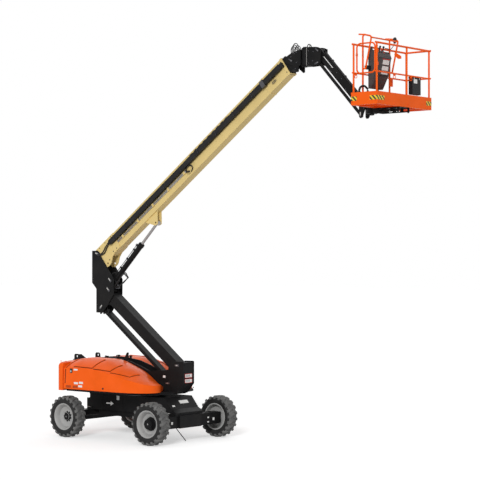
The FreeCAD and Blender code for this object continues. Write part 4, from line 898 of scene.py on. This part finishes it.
class LIFT_OT_jib(bpy.types.Operator):
    """Adds hoses, a valve block, bosses and bolts to the head, the yoke, the jib and the carrier"""
    bl_idname = "lift.jib"
    bl_label = "Head and Jib Fittings"

    def execute(self, context):
        head = joint_at("head_level")
        rack = Rack()
        for hand in (1, -1):
            face = hand * HEAD_FACE
            rack.boss(head.x, head.z, face, hand * 0.004, 0.036, 28)
            pin_keeper(rack, head.x, head.z, face + hand * 0.009, hand, 150, 0.022, "dark_steel")
            rack.side_bolts(((4.20, 7.90), (4.255, 7.92), (4.255, 7.72), (4.23, 7.60), (4.12, 7.84)),
                            face, hand, 0.009)
        for k in range(5):
            y = -0.085 + 0.035 * k
            rise = 0.035 * (k % 3)
            rack.tube([(4.115, y, 7.90), (4.105, y, 7.98 + rise), (4.14, y, 8.04 + rise),
                       (4.21, y, 8.02 + rise), (4.25, y, 7.97), (4.25, y, 7.92)], 0.0085, "hose_rubber")
        rack.block((4.16, -0.09, 7.865), (4.27, 0.07, 7.925), "dark_steel")
        rack.finish("head_fittings", "head")
        self.yoke()
        self.jib()
        self.carrier()
        return {"FINISHED"}

    def yoke(self):
        foot = joint_at("jib_lift")
        low = joint_at("jib_link_lift")
        rack = Rack()
        for hand in (1, -1):
            face = hand * YOKE_FACE
            rack.boss(foot.x, foot.z, face, hand * 0.004, 0.036, 28)
            pin_keeper(rack, foot.x, foot.z, face + hand * 0.009, hand, 140, 0.020, "dark_steel")
            rack.side_bolts(((4.56, 7.93), (4.56, 7.68), (4.66, 7.72), (4.68, 7.90)), face, hand, 0.009)
            rack.pad(4.512, 4.519, 7.64, 7.995, face, hand * 0.003, "zinc")
        pin_keeper(rack, low.x, low.z, -0.125, -1, 200, 0.020, "dark_steel")
        rack.bar((4.40, 0, 8.005), (4.40, 0, 8.022), 0.050, "black_paint", 32)
        for x, y in around(6, 0.036):
            rack.bolt((4.40 + x, y, 8.022), (0, 0, 1), 0.007)
        rack.tube([(4.45, -0.02, 8.01), (4.52, -0.06, 8.06), (4.60, -0.09, 8.03), (4.64, -0.10, 7.96)],
                  0.009, "hose_rubber")
        rack.bar((4.53, -0.03, 8.005), (4.53, -0.03, 8.045), 0.014, "zinc", 6)
        rack.finish("yoke_fittings", "yoke")

    def jib(self):
        rack = jib_line()
        length = (joint_at("carrier_level") - joint_at("jib_lift")).length
        for hand in (1, -1):
            face = hand * JIB_FACE
            for x in (0.0, length):
                rack.boss(x, 0, face, hand * 0.002, 0.036, 28)
            for x, z in ((0.12, -0.085), (0.50, -0.085), (0.614, -0.007), (0.783, -0.012), (1.002, -0.085),
                         (1.25, -0.01), (1.36, -0.085)):
                rack.boss(x, z, face, hand * 0.002, 0.011, 6, "dark_steel")
        rack.block((0.156, -0.060, -0.020), (0.474, -0.057, -0.004), "white_label")
        for k in range(3):
            y = -0.03 + 0.03 * k
            rack.tube([(0.10, y, 0.050), (0.40, y, 0.049), (0.80, y, 0.049), (1.15, y, 0.049),
                       (1.37, y, 0.050)], 0.0085, "hose_rubber")
        for x in (0.30, 0.75, 1.20):
            rack.block((x, -0.052, 0.040), (x + 0.03, 0.052, 0.062), "black_paint")
        rack.finish("jib_fittings", "jib")
        rack = Rack(joint_at("jib_link_lift"), joint_at("carrier_level") - joint_at("jib_lift"))
        for x in (0.0, length):
            rack.boss(x, 0, -0.090, -0.004, 0.028, 24)
        rack.finish("jib_link_fittings", "jib_linkage")

    def carrier(self):
        top = joint_at("carrier_level")
        rack = Rack()
        for hand in (1, -1):
            face = hand * YOKE_FACE
            pin_keeper(rack, top.x, top.z, face + hand * 0.009, hand, 30, 0.020)
            rack.side_bolts([(top.x + dx, top.z + dz) for dx, dz in
                             ((0.075, -0.03), (0.075, -0.085), (0.03, 0.025))], face, hand, 0.009)
        drop = joint_at("jib_link_lift").z - joint_at("jib_lift").z
        pin_keeper(rack, top.x, top.z + drop, -0.125, -1, 90, 0.020, proud=0.002)
        axis = joint_at("platform_rotate")
        for x, y in around(8, 0.08):
            rack.bolt((axis.x + x, y, 6.840), (0, 0, 1), 0.009)
        rack.bar((axis.x, 0, 6.840), (axis.x, 0, 6.850), 0.050, "black_paint", 32)
        rack.finish("carrier_fittings", "carrier")


class LIFT_OT_chassis(bpy.types.Operator):
    """Adds tie-down loops, labels, the steering cylinder and the earthing strap to the chassis"""
    bl_idname = "lift.chassis"
    bl_label = "Chassis Fittings"

    def execute(self, context):
        low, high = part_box("chassis_frame")
        rack = Rack()
        for hand in (1, -1):
            face = hand * CHASSIS_FACE
            near, far = sorted((face, face + hand * 0.0015))
            rack.block((-0.380, near, 0.800), (-0.300, far, 0.890), "white_label")
            rack.plate([(-0.69, 0.70), (-0.56, 0.70), (-0.56, 0.665), (-0.47, 0.715), (-0.56, 0.765),
                        (-0.56, 0.730), (-0.69, 0.730)], near, far, "white_label")
            rack.side_bolts([(x, z) for x in (-1.10, -0.70, -0.10, 0.45, 0.90) for z in (0.60, 0.88)],
                            face, hand, 0.010, "black_paint")
            for x in (-0.85, -0.25, 0.55):
                rack.pad(x, x + 0.05, 0.575, 0.905, face, hand * 0.004)
            rack.pad(-1.20, 0.98, 0.895, 0.912, face, hand * 0.004)
            for x in (low.x + 0.10, high.x - 0.16):
                bend, tip = face + hand * 0.05, face + hand * 0.06
                rack.tube([(x - 0.03, face, 0.60), (x - 0.03, bend, 0.61), (x, tip, 0.615),
                           (x + 0.03, bend, 0.61), (x + 0.03, face, 0.60)], 0.009, "zinc", 10, 4)
        rack.block((high.x - 0.001, -0.34, 0.575), (high.x + 0.003, 0.34, 0.610), "black_paint")
        for y in (-0.28, 0.28):
            rack.bolt((high.x, y, 0.59), (1, 0, 0), 0.012, "black_paint")
        rack.finish("chassis_fittings", "chassis")
        self.front_label()
        self.axle()
        self.steering()
        self.strap()
        return {"FINISHED"}

    def front_label(self):
        """Blank plate on the sloping front face."""
        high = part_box("chassis_frame")[1]
        top = Vector((high.x - 0.310, 0, high.z))
        foot = Vector((high.x - 0.120, 0, 0.690))
        rack = Rack(top, foot - top)
        for start, end, y0, y1 in ((0.095, 0.175, -0.06, 0.21), (0.20, 0.24, -0.34, -0.26)):
            rack.block((start, y0, 0.0), (end, y1, 0.002), "white_label")
        rack.finish("front_slope_label", "chassis")

    def axle(self):
        """Labels, bolts and end plates on the drive axle."""
        rack = Rack()
        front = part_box("drive_axle")[1].x - 0.045
        for y, z, wide, tall in ((-0.537, 0.419, 0.055, 0.055), (0.605, 0.457, 0.05, 0.03),
                                 (0.605, 0.362, 0.05, 0.03), (0.777, 0.414, 0.06, 0.06)):
            rack.block((front, y - wide / 2, z - tall / 2),
                       (front + 0.002, y + wide / 2, z + tall / 2), "white_label")
        for hand in (1, -1):
            for z in (0.34, 0.43, 0.52):
                for y in (0.86, 0.95):
                    rack.bolt((front, hand * y, z), (1, 0, 0), 0.010, "black_paint")
            rack.pad(1.10, 1.34, 0.32, 0.545, hand * 0.985, hand * 0.013)
        rack.finish("drive_axle_fittings", "chassis")

    def steering(self):
        """Steering cylinder behind the axle beam, with its hoses, and a nut on each knuckle."""
        rack = Rack()
        x = joint_at("steer_left").x - 0.145
        rack.bar((x, -0.30, 0.46), (x, 0.20, 0.46), 0.032, "black_paint", 32)
        rack.bar((x, 0.20, 0.46), (x, 0.42, 0.46), 0.016, "zinc", 20)
        for y in (-0.30, 0.20):
            rack.bar((x, y - 0.012, 0.46), (x, y + 0.012, 0.46), 0.038, "black_paint", 32)
        for y in (-0.24, 0.14):
            rack.block((x, y - 0.02, 0.44), (-1.329, y + 0.02, 0.48), "black_paint")
            rack.bar((x, y, 0.49), (x, y, 0.515), 0.011, "zinc", 6)
            rack.tube([(x, y, 0.51), (x - 0.03, y, 0.56), (x + 0.02, y * 0.5, 0.60),
                       (-1.285, y * 0.3, 0.62)], 0.009, "hose_rubber")
        for hand in (1, -1):
            for dy in (0.40, 0.52, 0.64):
                rack.bolt((-1.33, hand * dy, 0.53), (-1, 0, 0), 0.010, "black_paint")
        rack.finish("steer_axle_fittings", "chassis")
        for side, hand in HANDS:
            pin = joint_at("steer_" + side)
            rack = Rack()
            rack.bar((pin.x + 0.21, pin.y, 0.505), (pin.x + 0.21, pin.y, 0.520), 0.020, "zinc", 6)
            rack.finish("knuckle_fittings_" + side, "steer_stub_" + side)

    def strap(self):
        """Earthing strap that hangs from the belly pan to the ground."""
        rack = Rack()
        top, foot = Vector((0.770, -0.02, 0.449)), Vector((1.245, -0.02, 0.010))
        rack.block((0.735, -0.045, 0.440), (0.790, 0.005, 0.452), "zinc")
        rack.tube([top, top.lerp(foot, 0.5) + Vector((-0.006, 0, -0.004)), foot], 0.009, "hose_rubber", 8, 6)
        rack.finish("earthing_strap", "chassis", 0.0)


def drawn_in(x, hand):
    """Place along X on a hood; the left hood is shorter than the right one."""
    start, scale = -0.54, 0.79
    return x if hand < 0 or x < start else start + (x - start) * scale


class LIFT_OT_hoods(bpy.types.Operator):
    """Adds raised panels, creases, latches, slots and labels to the hoods, and fittings to the tail"""
    bl_idname = "lift.hoods"
    bl_label = "Hood and Tail Details"

    def execute(self, context):
        for side, hand in HANDS:
            tree = BVHTree.FromObject(NODES["hood_" + side], context.evaluated_depsgraph_get())
            shift = NODES["hood_" + side].matrix_world
            rack = Rack()
            for x0, x1, low, high in ((-1.02, -0.50, 40, 84), (-0.44, -0.00, 38, 82), (0.06, 0.50, 34, 76)):
                x0, x1 = drawn_in(x0, hand), drawn_in(x1, hand)
                self.skin(rack, tree, shift, hand, (x0 - 0.012, x1 + 0.014), (low - 1.5, high + 1.0), 0.004,
                          "seam_shadow")
                self.skin(rack, tree, shift, hand, (x0, x1), (low, high), 0.018, "orange_paint")
            self.skin(rack, tree, shift, hand, (-1.262, -1.240), (4, 78), 0.0015, "seam_shadow", 1, 30)
            self.skin(rack, tree, shift, hand, (-1.292, -1.266), (4, 80), 0.010, "orange_paint", 1, 30)
            self.skin(rack, tree, shift, hand, (-1.240, -0.95), (76, 79), 0.0015, "seam_shadow", 12, 1)
            for points in (((-1.20, 1.475), (-0.755, 1.493), (-0.50, 1.485), (-0.054, 1.431), (0.40, 1.33)),
                           ((-1.20, 1.06), (-0.60, 1.055), (0.0, 1.055), (0.45, 1.055))):
                path = [self.side_hit(tree, shift, hand, drawn_in(x, hand), z) for x, z in points]
                rack.tube([p for p in path if p], 0.0045, "orange_paint", 8, 10)
            rack.finish("hood_panels_" + side, side + "_hood", 0.002)
            self.fittings(tree, shift, side, hand)
        self.tail()
        return {"FINISHED"}

    def hit(self, tree, shift, hand, x, degrees):
        """Point and normal on the hood at an angle about a line inside it."""
        turn = math.radians(degrees)
        centre = Vector((x, hand * 0.58, 1.12))
        out = Vector((0, hand * math.cos(turn), math.sin(turn)))
        inverse = shift.inverted()
        place = tree.ray_cast(inverse @ (centre + out * 2), inverse.to_3x3() @ -out)[0]
        if place is None:
            raise RuntimeError("the hood has no skin here")
        return shift @ place, out

    def side_hit(self, tree, shift, hand, x, z):
        inverse = shift.inverted()
        inward = inverse.to_3x3() @ Vector((0, -hand, 0))
        place = tree.ray_cast(inverse @ Vector((x, hand * 3, z)), inward)[0]
        return shift @ place if place is not None else None

    def skin(self, rack, tree, shift, hand, xs, turns, lift, name, nx=24, nt=20):
        """A panel that follows the hood's skin, raised by a lift."""
        grid = []
        for i in range(nx + 1):
            x = xs[0] + (xs[1] - xs[0]) * i / nx
            for j in range(nt + 1):
                place, out = self.hit(tree, shift, hand, x, turns[0] + (turns[1] - turns[0]) * j / nt)
                grid.append((place + out * lift, place - out * 0.003))
        top = [g[0] for g in grid]
        under = [g[1] for g in grid]
        count, row = len(grid), nt + 1
        faces = []
        for i in range(nx):
            for j in range(nt):
                a = i * row + j
                faces.append((a, a + row, a + row + 1, a + 1))
                faces.append((a + count, a + 1 + count, a + row + 1 + count, a + row + count))
        rim = ([i * row for i in range(nx + 1)], [i * row + nt for i in range(nx + 1)],
               list(range(row)), [nx * row + j for j in range(row)])
        for line in rim:
            for a, b in zip(line, line[1:]):
                faces.append((a, b, b + count, a + count))
        rack.shell(top + under, faces, name)

    def fittings(self, tree, shift, side, hand):
        """Latch, blank plates, air slots and a round cap on the hood's side."""
        rack = Rack()

        def pad(x0, x1, z0, z1, lift, name):
            y = max(abs(self.side_hit(tree, shift, hand, x, z).y) for x in (x0, x1) for z in (z0, z1))
            low, high = sorted((hand * (y - 0.010), hand * (y + lift)))
            rack.block((x0, low, z0), (x1, high, z1), name)

        pad(-1.115, -1.045, 1.385, 1.475, 0.008, "black_plastic")
        pad(-1.100, -1.060, 1.400, 1.440, 0.016, "zinc")
        pad(-1.010, -0.890, 1.440, 1.475, 0.002, "white_label")
        # The air slots are flat black strips on the skin: painted shade standing in for their dark openings.
        for x0, x1 in ((-1.225, -1.075), (-1.013, -0.863)):
            for k in range(3):
                pad(x0, x1, 1.070 + 0.017 * k, 1.079 + 0.017 * k, 0.002, "black_plastic")
        for x, z in ((-0.85, 1.090), (-0.83, 1.165), (-0.98, 1.150)):
            pad(x, x + 0.12, z, z + 0.045, 0.002, "white_label")
        spot = self.side_hit(tree, shift, hand, -0.113, 1.098)
        rack.bar((spot.x, spot.y - hand * 0.004, spot.z), (spot.x, spot.y + hand * 0.006, spot.z), 0.022,
                 "black_plastic", 28)
        rack.finish("hood_fittings_" + side, side + "_hood")

    def tail(self):
        """Reflectors, tie-down rings and bolts on the counterweight."""
        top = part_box("counterweight")[1].z
        rack = Rack()
        for hand in (1, -1):
            for y in (0.55, 0.85):
                x = -math.sqrt(TAIL_RADIUS ** 2 - y ** 2)
                rack.bar((x + 0.02, hand * y, 1.30), (x - 0.006, hand * y, 1.30), 0.040, "red_plastic", 32)
                rack.bar((x + 0.02, hand * y, 1.30), (x - 0.003, hand * y, 1.30), 0.048, "black_plastic", 32)
            x = -math.sqrt(TAIL_RADIUS ** 2 - 0.40 ** 2)
            y = hand * 0.40
            rack.bar((x + 0.03, y, 1.12), (x - 0.004, y, 1.12), 0.045, "black_plastic", 32)
            rack.tube([(x - 0.002, y - 0.03, 1.12), (x - 0.025, y - 0.025, 1.09), (x - 0.032, y, 1.075),
                       (x - 0.025, y + 0.025, 1.09), (x - 0.002, y + 0.03, 1.12)], 0.008, "zinc", 10, 4)
            for x in (-1.45, -1.60):
                rack.bolt((x, hand * 0.90, top - 0.001), (0, 0, 1), 0.016, "orange_paint")
        rack.finish("counterweight_fittings", "turntable")


class LIFT_OT_platform(bpy.types.Operator):
    """Adds the controls, tapes, rings, latch, horn and bolts of the platform"""
    bl_idname = "lift.platform"
    bl_label = "Platform Fittings"

    def execute(self, context):
        self.floor_low, self.floor_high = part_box("platform_floor")
        self.rear, self.front = self.floor_low.x + 0.034, self.floor_high.x - 0.034
        self.side = self.floor_high.y - 0.034
        self.floor_fittings()
        self.rail_fittings()
        self.console()
        self.guard()
        self.support()
        return {"FINISHED"}

    def floor_fittings(self):
        low, high = self.floor_low, self.floor_high
        rack = Rack()
        z0, z1 = low.z + 0.080, low.z + 0.162
        for y0, y1 in ((low.y, low.y + 0.23), (high.y - 0.18, high.y)):
            rack.block((high.x, y0, z0), (high.x + 0.0012, y1, z1), "hazard_tape")
            rack.block((low.x - 0.0012, y0, z0), (low.x, y1, z1), "hazard_tape")
        for y, out in ((low.y, -0.0012), (high.y, 0.0012)):
            rack.pad(low.x, low.x + 0.13, z0, z1, y, out, "hazard_tape")
            rack.pad(high.x - 0.17, high.x, z0, z1, y, out, "hazard_tape")
        rack.finish("hazard_tapes", "platform", 0.0)
        rack = Rack()
        for i in range(10):
            for j in range(30):
                x = low.x + 0.045 + 0.053 * i
                y = low.y + 0.05 + 0.0585 * j
                if x < high.x - 0.03 and y < high.y - 0.03:
                    for dx0, dy0, dx1, dy1 in ((0, 0, 0.030, 0.006), (0.012, 0.012, 0.018, 0.040)):
                        rack.block((x + dx0, y + dy0, low.z + 0.0598), (x + dx1, y + dy1, low.z + 0.0622),
                                   "orange_paint")
        rack.finish("floor_tread", "platform", 0.0)
        rack = Rack()
        for x, y in ((self.rear, -self.side), (self.front, -self.side), (self.rear, self.side),
                     (self.front, self.side), (self.front, 0.11), (self.rear, -0.577), (self.rear, 0.303)):
            rack.turned([(0.0, 0.019), (0.0, 0.045), (0.008, 0.045), (0.012, 0.030), (0.012, 0.019)],
                        (x, y, low.z + 0.0603), (0, 0, 1), "orange_paint", 28)
            inward = 1 if x < (self.rear + self.front) / 2 else -1
            rack.plate([(x - inward * 0.020, low.z + 0.070), (x - inward * 0.020, low.z + 0.225),
                        (x - inward * 0.026, low.z + 0.225), (x - inward * 0.0295, low.z + 0.070)],
                       y - 0.004, y + 0.004, "orange_paint")
        for k in range(8):
            y = low.y + 0.10 + 0.225 * k
            for x, way in ((high.x, 1), (low.x, -1)):
                rack.bolt((x, y, low.z + 0.035), (way, 0, 0), 0.008, "orange_paint")
        rack.finish("floor_fittings", "platform")

    def rail_fittings(self):
        """Rings for harnesses, the document box's fittings and the gate's latch."""
        rack = Rack()
        for x, y, z in ((self.rear, -0.80, 7.27), (self.front, 0.25, 7.27), (self.front, -0.30, 7.27)):
            rack.tube(loop_path((x, y, z - 0.028), 0.026, 0.026), 0.006, "orange_paint", 8, 2)
            rack.block((x - 0.022, y - 0.012, z), (x + 0.022, y + 0.012, z + 0.026), "orange_paint")
        rack.finish("rail_fittings", "platform", 0.001)
        rack = Rack()
        low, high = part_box("document_box")
        rack.block((high.x, low.y + 0.04, high.z - 0.13), (high.x + 0.0015, low.y + 0.16, high.z - 0.05),
                   "white_label")
        rack.block((low.x - 0.004, low.y - 0.004, high.z - 0.030),
                   (high.x + 0.004, high.y + 0.004, high.z - 0.014), "black_plastic")
        for y in (low.y + 0.05, high.y - 0.05):
            rack.block((high.x - 0.004, y - 0.012, high.z - 0.05),
                       (high.x + 0.006, y + 0.012, high.z + 0.006), "zinc")
        rack.finish("document_box_fittings", "platform")
        rack = Rack()
        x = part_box("platform_gate")[0].x
        rack.block((x - 0.004, -0.888, 7.61), (x + 0.030, -0.858, 7.66), "orange_paint")
        rack.boss(x + 0.015, 7.635, -0.888, -0.012, 0.008, 16, "zinc")
        rack.finish("gate_latch", "gate")

    def console(self):
        """Lid, seams, blank plates, switches and joysticks of the control box."""
        low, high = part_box("control_console")
        y0, y1 = low.y, high.y
        rack = Rack()
        foot_x, foot_z, top_x, top_z = 6.416, 7.300, 6.476, 7.620   # ends of the slanting face
        slant = (top_x - foot_x) / (top_z - foot_z)
        for z0, z1 in ((7.50, 7.585), (7.39, 7.47), (7.32, 7.36)):
            x0, x1 = (foot_x + slant * (z - foot_z) for z in (z0, z1))
            rack.plate([(x0 - 0.004, z0), (x0 + 0.002, z0), (x1 + 0.002, z1), (x1 - 0.004, z1)],
                       y0 + 0.14, y1 - 0.05, "white_label")
        rack.plate([(6.466, 7.592), (6.474, 7.592), (6.478, 7.606), (6.468, 7.606)],
                   y0 + 0.12, y1 - 0.03, "red_label")
        rack.plate([(6.415, 7.292), (6.425, 7.292), (6.427, 7.304), (6.417, 7.304)],
                   y0 - 0.006, y1 + 0.006, "black_plastic")
        rack.plate([(6.225, 7.786), (6.428, 7.738), (6.482, 7.618), (6.488, 7.618), (6.434, 7.746),
                    (6.225, 7.796)], y0 - 0.008, y1 + 0.008, "cover_plastic")
        for near, far in ((y0 - 0.005, y0 - 0.001), (y1 + 0.001, y1 + 0.005)):
            rack.plate([(6.25, 7.10), (6.29, 7.12), (6.40, 7.33), (6.44, 7.60), (6.39, 7.70),
                        (6.25, 7.74)], near, far, "cover_plastic")
        rack.finish("console_cover", "platform")
        rack = Rack()
        for k in range(3):
            y = y0 + 0.09 + 0.11 * k
            rack.turned([(0.0, 0.002), (0.0, 0.028), (0.010, 0.026), (0.030, 0.012), (0.070, 0.010),
                         (0.085, 0.020), (0.110, 0.020), (0.118, 0.002)], (6.34, y, 7.752), (0.2, 0, 0.98),
                        "black_plastic", 28)
        for k in range(5):
            y = y0 + 0.06 + 0.07 * k
            colour = "red_plastic" if k == 2 else "black_plastic"
            rack.bar((6.44, y, 7.71), (6.452, y, 7.735), 0.009, colour)
        rack.bar((6.28, y1 - 0.03, 7.77), (6.28, y1 - 0.03, 7.80), 0.022, "red_plastic", 28)
        rack.finish("console_controls", "platform")
        rack = Rack()
        rack.block((6.225, -0.56, 7.40), (6.30, -0.46, 7.47), "black_plastic")
        rack.tube([(6.26, -0.50, 7.00), (6.27, -0.56, 6.95), (6.26, -0.66, 6.93), (6.22, -0.72, 6.97),
                   (6.23, -0.70, 7.05), (6.26, -0.62, 7.08), (6.27, -0.52, 7.03)], 0.020, "hose_rubber", 12)
        rack.tube([(6.30, -0.20, 7.06), (6.28, -0.24, 6.95), (6.24, -0.26, 6.88), (6.20, -0.26, 6.90),
                   (6.168, -0.26, 6.945), (6.15, -0.25, 6.90), (6.15, -0.20, 6.80)],
                  0.012, "hose_rubber", 12)
        rack.finish("console_hoses", "platform", 0.0)

    def guard(self):
        """Horn, bracket, cable and a small box by the left hoop."""
        rack = Rack()
        rack.turned([(0.0, 0.004), (0.0, 0.050), (0.016, 0.050), (0.030, 0.040), (0.045, 0.018),
                     (0.060, 0.004)], (6.33, 0.303, 8.03), (-0.3, -0.9, 0), "black_plastic", 32)
        rack.block((6.30, 0.285, 7.965), (6.34, 0.320, 8.035), "black_plastic")
        rack.tube([(6.33, 0.30, 7.98), (6.30, 0.27, 7.90), (6.24, 0.25, 7.84), (6.22, 0.22, 7.86),
                   (6.23, 0.10, 7.86)], 0.007, "hose_rubber", 8)
        rack.plate([(6.325, 7.80), (6.47, 7.71), (6.47, 7.66), (6.40, 7.66), (6.31, 7.74)], 0.298, 0.308,
                   "orange_paint")
        rack.block((6.222, 0.25, 7.14), (6.26, 0.33, 7.30), "orange_paint")
        rack.bar((6.262, 0.29, 7.25), (6.268, 0.29, 7.25), 0.016, "red_plastic", 24)
        rack.finish("guard_fittings", "platform")

    def support(self):
        """Bolts, end straps and a nut on the support, and the foot switch with its guard."""
        low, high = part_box("platform_support")
        rack = Rack()
        for hand in (1, -1):
            face = hand * SUPPORT_FACE
            rack.side_bolts([(high.x - 0.05 - 0.06 * k, high.z - 0.018) for k in range(6)],
                            face, hand, 0.006, "black_paint")
            rack.pad(high.x - 0.05, high.x - 0.01, low.z + 0.01, high.z - 0.01, face, hand * 0.004)
        axis = joint_at("platform_rotate")
        rack.bar((axis.x, 0, low.z), (axis.x, 0, low.z - 0.010), 0.030, "zinc", 6)
        rack.finish("support_fittings", "platform")
        rack = Rack()
        rack.block((6.36, -0.15, 6.7605), (6.52, 0.02, 6.772), "black_plastic")
        rack.plate([(6.38, 6.772), (6.50, 6.772), (6.50, 6.780), (6.38, 6.815)], -0.13, 0.00, "dark_steel")
        for y in (-0.15, 0.012):
            rack.plate([(6.36, 6.772), (6.52, 6.772), (6.52, 6.84), (6.46, 6.88), (6.36, 6.88)],
                       y, y + 0.008, "black_plastic")
        rack.block((6.36, -0.15, 6.872), (6.46, 0.02, 6.880), "black_plastic")
        rack.finish("foot_switch", "platform")


class LIFT_OT_stage(bpy.types.Operator):
    """Builds the floor, the lamps, the white surround and the camera"""
    bl_idname = "lift.stage"
    bl_label = "Studio"

    def execute(self, context):
        s = context.scene.lift_stage
        scene = context.scene
        self.floor(s.floor)
        self.surround(scene)
        for name, turn, strength, angle in (("key", (65, 0, 30), 1.7, 15), ("fill", (60, 0, 200), 0.5, 60)):
            lamp = bpy.data.lights.new(name, "SUN")
            lamp.energy = strength
            lamp.angle = math.radians(angle)
            made = bpy.data.objects.new(name, lamp)
            made.rotation_euler = [math.radians(v) for v in turn]
            scene.collection.objects.link(made)
        camera = bpy.data.cameras.new("studio_camera")
        camera.sensor_width = 36.0
        camera.lens = s.lens
        camera.clip_end = 500.0
        made = bpy.data.objects.new("studio_camera", camera)
        made.location = s.camera
        forward = Vector((math.cos(s.heading) * math.cos(s.rise), math.sin(s.heading) * math.cos(s.rise),
                          math.sin(s.rise)))
        made.rotation_mode = "QUATERNION"
        made.rotation_quaternion = forward.to_track_quat("-Z", "Y")
        scene.collection.objects.link(made)
        scene.camera = made
        scene.view_settings.view_transform = "Standard"
        return {"FINISHED"}

    def seen(self, tree):
        """1 for rays that show the surround: straight, mirrored or through glass."""
        path = tree.nodes.new("ShaderNodeLightPath")
        first = combine(tree, "MAXIMUM", path.outputs["Is Camera Ray"], path.outputs["Is Glossy Ray"])
        return combine(tree, "MAXIMUM", first, path.outputs["Is Transmission Ray"])

    def floor(self, half):
        mesh = bmesh.new()
        for x, y in ((-half, -half), (half, -half), (half, half), (-half, half)):
            mesh.verts.new((x, y, 0.0))
        mesh.faces.new(mesh.verts)
        data = bpy.data.meshes.new("studio_floor")
        mesh.to_mesh(data)
        mesh.free()
        made = bpy.data.objects.new("studio_floor", data)
        bpy.context.scene.collection.objects.link(made)
        surface, tree, shader = nodes_of("studio_floor")
        tone = blend_colours(tree, spread(tree, noise(tree, 0.7, 3.0), 0.3, 0.7, 0.0, 1.0),
                             (0.80, 0.80, 0.80), (0.83, 0.83, 0.83))
        tree.links.new(tone, shader.inputs["Base Color"])
        shader.inputs["Roughness"].default_value = 0.9
        shader.inputs["Specular IOR Level"].default_value = 0.0
        glow = tree.nodes.new("ShaderNodeEmission")
        tree.links.new(combine(tree, "MULTIPLY", self.seen(tree), 0.45), glow.inputs["Strength"])
        both = tree.nodes.new("ShaderNodeAddShader")
        out = next(n for n in tree.nodes if n.type == "OUTPUT_MATERIAL")
        tree.links.new(shader.outputs["BSDF"], both.inputs[0])
        tree.links.new(glow.outputs["Emission"], both.inputs[1])
        tree.links.new(both.outputs["Shader"], out.inputs["Surface"])
        data.materials.append(surface)

    def surround(self, scene):
        world = bpy.data.worlds.new("studio_surround")
        world.use_nodes = True
        tree = world.node_tree
        tree.nodes.clear()
        out = tree.nodes.new("ShaderNodeOutputWorld")
        light = tree.nodes.new("ShaderNodeBackground")
        light.inputs["Color"].default_value = (1, 1, 1, 1)
        light.inputs["Strength"].default_value = 0.45
        white = tree.nodes.new("ShaderNodeBackground")
        white.inputs["Color"].default_value = (1, 1, 1, 1)
        white.inputs["Strength"].default_value = 1.0
        mix = tree.nodes.new("ShaderNodeMixShader")
        tree.links.new(self.seen(tree), mix.inputs["Fac"])
        tree.links.new(light.outputs["Background"], mix.inputs[1])
        tree.links.new(white.outputs["Background"], mix.inputs[2])
        tree.links.new(mix.outputs["Shader"], out.inputs["Surface"])
        scene.world = world


OPERATORS = (
    LIFT_OT_cad_finishes, LIFT_OT_tyres, LIFT_OT_hubs, LIFT_OT_chassis, LIFT_OT_turntable,
    LIFT_OT_hoods, LIFT_OT_tower, LIFT_OT_main_boom, LIFT_OT_jib, LIFT_OT_platform, LIFT_OT_stage,
)


class LIFT_PT_panel(bpy.types.Panel):
    """Shows the settings and the buttons that build the boom lift"""
    bl_idname = "LIFT_PT_panel"
    bl_label = "Boom Lift"
    bl_space_type = "VIEW_3D"
    bl_region_type = "UI"
    bl_category = "Boom Lift"

    def draw(self, context):
        for group in SETTING_GROUPS:
            settings = getattr(context.scene, group)
            box = self.layout.box()
            for name in settings.bl_rna.properties.keys():
                if name not in ("rna_type", "name"):
                    box.prop(settings, name)
        for operator in OPERATORS:
            self.layout.operator(operator.bl_idname)


def register():
    for group in SETTING_GROUPS.values():
        bpy.utils.register_class(group)
    for name, group in SETTING_GROUPS.items():
        setattr(bpy.types.Scene, name, PointerProperty(type=group))
    for operator in OPERATORS:
        bpy.utils.register_class(operator)
    bpy.utils.register_class(LIFT_PT_panel)


def unregister():
    bpy.utils.unregister_class(LIFT_PT_panel)
    for operator in reversed(OPERATORS):
        bpy.utils.unregister_class(operator)
    for name in SETTING_GROUPS:
        delattr(bpy.types.Scene, name)
    for group in reversed(list(SETTING_GROUPS.values())):
        bpy.utils.unregister_class(group)


def main():
    register()
    for operator in OPERATORS:
        family, name = operator.bl_idname.split(".")
        getattr(getattr(bpy.ops, family), name)()


if __name__ == "__main__":
    main()
